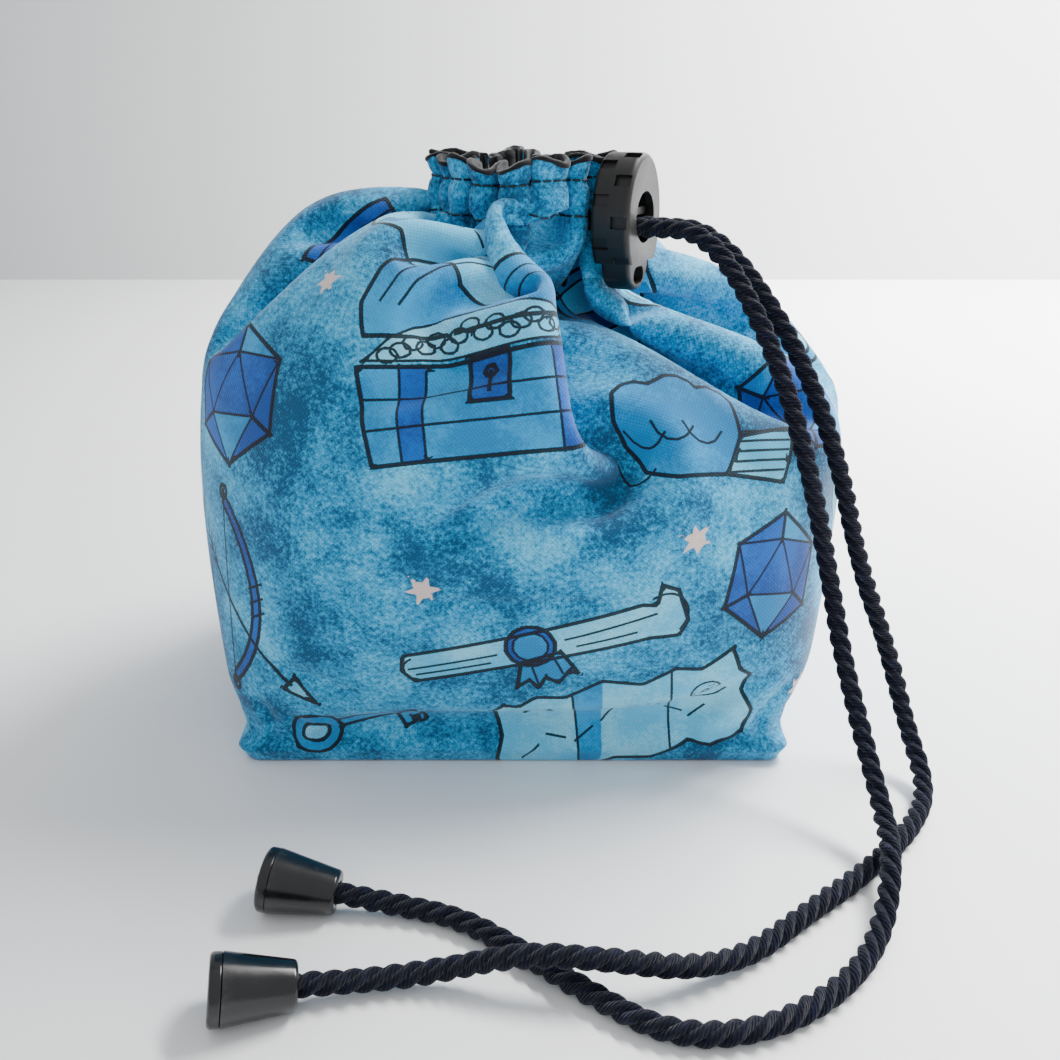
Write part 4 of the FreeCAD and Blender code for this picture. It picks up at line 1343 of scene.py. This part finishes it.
def printed_cotton():
    """Quilting cotton: mottled blue ground, filled drawings with black outlines, plain weave."""
    g = Graph("printed_cotton")
    place = g.attribute("cloth_mm")
    s, v = g.split(place)[:2]
    ragged = g.mul(g.sub(g.noise(place, 2.1, 3.0, 0.6), 0.5), 0.30)
    clouds = g.noise(place, 0.042, 4.0, 0.62)
    speckle = g.noise(place, 1.05, 3.0, 0.75)
    grain = g.noise(place, 0.35, 5.0, 0.8)
    tone = g.add(clouds, g.mul(g.sub(speckle, 0.5), 0.75))
    tone = g.add(tone, g.mul(g.sub(grain, 0.5), 0.35))
    ground = g.mix(g.span(tone, 0.34, 0.56), srgb("#04507A"), srgb("#1E9DD3"))
    ground = g.mix(g.span(tone, 0.50, 0.74), ground, srgb("#68D4FA"))
    fills = g.split(g.attribute("fill_low"))
    star_distance = g.split(g.attribute("fill_star"))[0]
    soft = g.sub(clouds, 0.5)
    looks = (
        (fills[0], srgb("#88DEFB"), srgb("#55C2EE")), (fills[1], srgb("#2AA5E2"), srgb("#1283C2")),
        (fills[2], srgb("#0C66C4"), srgb("#064A9E")), (star_distance, srgb("#F0DAD6"), srgb("#E2CFCC")),
    )
    colour = ground
    for distance, light, dark in looks:
        inside = g.span(g.add(distance, g.mul(ragged, 0.4)), 0.10, -0.10)
        fill = g.mix(g.span(g.add(tone, soft), 0.35, 0.75), dark, light)
        colour = g.mix(inside, colour, fill)
    ink = g.span(g.add(ink_share(g), g.mul(ragged, 0.7)), 0.07, -0.07)
    colour = g.mix(g.mul(ink, 0.965), colour, srgb("#0B1018"))
    height = weave(g, s, v)
    slub = g.noise(g.join(g.mul(s, 0.15), g.mul(v, 2.2)), 1.0, 2.0)
    shade = g.span(height, -0.9, 0.35, 0.80, 1.06, False)
    shade = g.mul(shade, g.span(slub, 0.3, 0.7, 0.965, 1.03, False))
    colour = g.mix(1.0, colour, g.join(shade, shade, shade), "MULTIPLY")
    fuzz = g.add(height, g.mul(g.noise(place, 6.0, 2.0), 0.8))
    g.shader.inputs["Sheen Weight"].default_value = 0.18
    g.shader.inputs["Sheen Roughness"].default_value = 0.5
    g.shader.inputs["Specular IOR Level"].default_value = 0.25
    rough = g.span(fuzz, -0.8, 1.0, 0.86, 0.72, False)
    return g.finish(Base_Color=colour, Roughness=rough, Normal=g.bump(fuzz, 0.55, 0.00011))


def lining_cotton():
    """Black cotton with a fine weave and a little lint."""
    g = Graph("lining_cotton")
    place = g.place()
    fine = g.noise(place, 2600.0, 2.0)
    broad = g.noise(place, 160.0, 3.0)
    colour = g.mix(g.span(broad, 0.3, 0.7), srgb("#0B0C10"), srgb("#17181D"))
    colour = g.mix(g.span(fine, 0.62, 0.8), colour, srgb("#2B2C33"))
    g.shader.inputs["Sheen Weight"].default_value = 0.25
    g.shader.inputs["Specular IOR Level"].default_value = 0.2
    return g.finish(Base_Color=colour, Roughness=g.span(fine, 0.2, 0.8, 0.8, 0.95),
        Normal=g.bump(fine, 0.5, 0.0001))


def sewing_thread():
    """Black polyester thread, twisted."""
    g = Graph("thread")
    place = g.place()
    ply = g.node("TexWave", {"Vector": place, "Scale": 900.0, "Distortion": 3.0,
        "Detail": 1.0}).outputs["Fac"]
    colour = g.mix(ply, srgb("#07080B"), srgb("#1C1F27"))
    return g.finish(Base_Color=colour, Roughness=g.span(ply, 0, 1, 0.45, 0.6),
        Normal=g.bump(ply, 0.4, 0.00006))


def twisted_cord():
    """Navy cotton cord: yarns that run along each strand, and a soft nap."""
    g = Graph("cord")
    strand = g.split(g.attribute("strand"))
    place = g.place()
    turn = g.add(g.mul(strand[1], TAU), g.mul(strand[0], 1.15))
    yarn = g.math("SINE", g.mul(turn, 5.0))
    lint = g.noise(place, 3200.0, 3.0, 0.7)
    nap = g.noise(place, 520.0, 3.0, 0.6)
    height = g.add(g.mul(yarn, 0.5), g.mul(lint, 1.3))
    colour = g.mix(g.span(height, -0.1, 1.3), srgb("#06070E"), srgb("#12162A"))
    colour = g.mix(g.span(nap, 0.5, 0.8), colour, srgb("#171D36"))
    g.shader.inputs["Sheen Weight"].default_value = 0.10
    g.shader.inputs["Sheen Roughness"].default_value = 0.4
    g.shader.inputs["Specular IOR Level"].default_value = 0.15
    return g.finish(Base_Color=colour, Roughness=g.span(lint, 0.2, 0.8, 0.82, 0.96),
        Normal=g.bump(height, 0.8, 0.00022))


def moulded_plastic(name, dark, light, rough, texture):
    """Black moulded plastic: fine spark texture, faint flow marks, convex edges painted a lighter brownish
    grey (partly rubbing wear, partly painted sheen).
    """
    g = Graph(name)
    place = g.place()
    grain = g.noise(place, 2400.0, 2.0, 0.6)
    flow = g.noise(place, 90.0, 4.0, 0.6)
    scuff_and_edge_sheen = g.noise(place, 420.0, 5.0, 0.75)
    edge = g.span(g.node("NewGeometry").outputs["Pointiness"], 0.52, 0.60)
    colour = g.mix(g.span(flow, 0.3, 0.7), dark, light)
    # Painted sheen and rubbing wear: the convex edges are mixed towards a lighter brownish grey, more in some
    # places than others.
    colour = g.mix(g.mul(edge, g.span(scuff_and_edge_sheen, 0.4, 0.7, 0.1, 0.5)), colour, srgb("#3B3936"))
    shine = g.add(g.span(flow, 0.3, 0.7, rough - 0.05, rough + 0.05), g.span(scuff_and_edge_sheen, 0.55, 0.8, 0.0, 0.16))
    height = g.add(grain, g.mul(scuff_and_edge_sheen, 0.6))
    return g.finish(Base_Color=colour, Roughness=shine, Normal=g.bump(height, texture, 0.00006))


def spring_steel():
    """Bright drawn wire."""
    g = Graph("spring_steel")
    place = g.place()
    lines = g.noise(place, 1500.0, 3.0)
    g.shader.inputs["Metallic"].default_value = 1.0
    colour = g.mix(lines, srgb("#A9ABB0"), srgb("#D4D5D8"))
    return g.finish(Base_Color=colour, Roughness=g.span(lines, 0.2, 0.8, 0.16, 0.32),
        Normal=g.bump(lines, 0.2, 0.00003))


def make_materials():
    return {
        "printed_cotton": printed_cotton(), "lining_cotton": lining_cotton(), "thread": sewing_thread(),
        "cord": twisted_cord(),
        "lock": moulded_plastic("lock_plastic", srgb("#080706"), srgb("#0E0D0B"), 0.52, 0.35),
        "bell": moulded_plastic("bell_plastic", srgb("#0A0A0C"), srgb("#121215"), 0.22, 0.10),
        "spring_steel": spring_steel(),
    }


# ---------------------------------------------------------------- build
MATERIALS = make_materials()
make_camera()
make_stage()
make_lights()
CORDS = make_tails()
S, V, P = relax_cloth(np.concatenate(list(CORDS.values())), RELAX_STEPS, RELAX_ROUNDS)
CLOTH = Cloth(S, V, P)
for side in ("front", "back"):
    outer_panel(CLOTH, side)
lining_panels(CLOTH)
rolled_edge(CLOTH)
stitch_row(CLOTH, "channel_stitches_lower", STITCH_LOW, "casing_stitch_lower")
stitch_row(CLOTH, "channel_stitches_upper", STITCH_HIGH, "casing_stitch_upper")
exit_bartacks()
drawcord_in_channel()
for tail in ("a", "b"):
    stopper_knot(tail)
coil_spring()
CAD_LOOKS = {"lock_body": "lock", "lock_plunger": "lock"}
CAD_LOOKS.update({f"cord_end_{part}_{tail}": "bell" for tail in "ab" for part in ("bell", "cap")})
for node, look in CAD_LOOKS.items():
    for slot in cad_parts[node].material_slots:
        slot.material = MATERIALS[look]
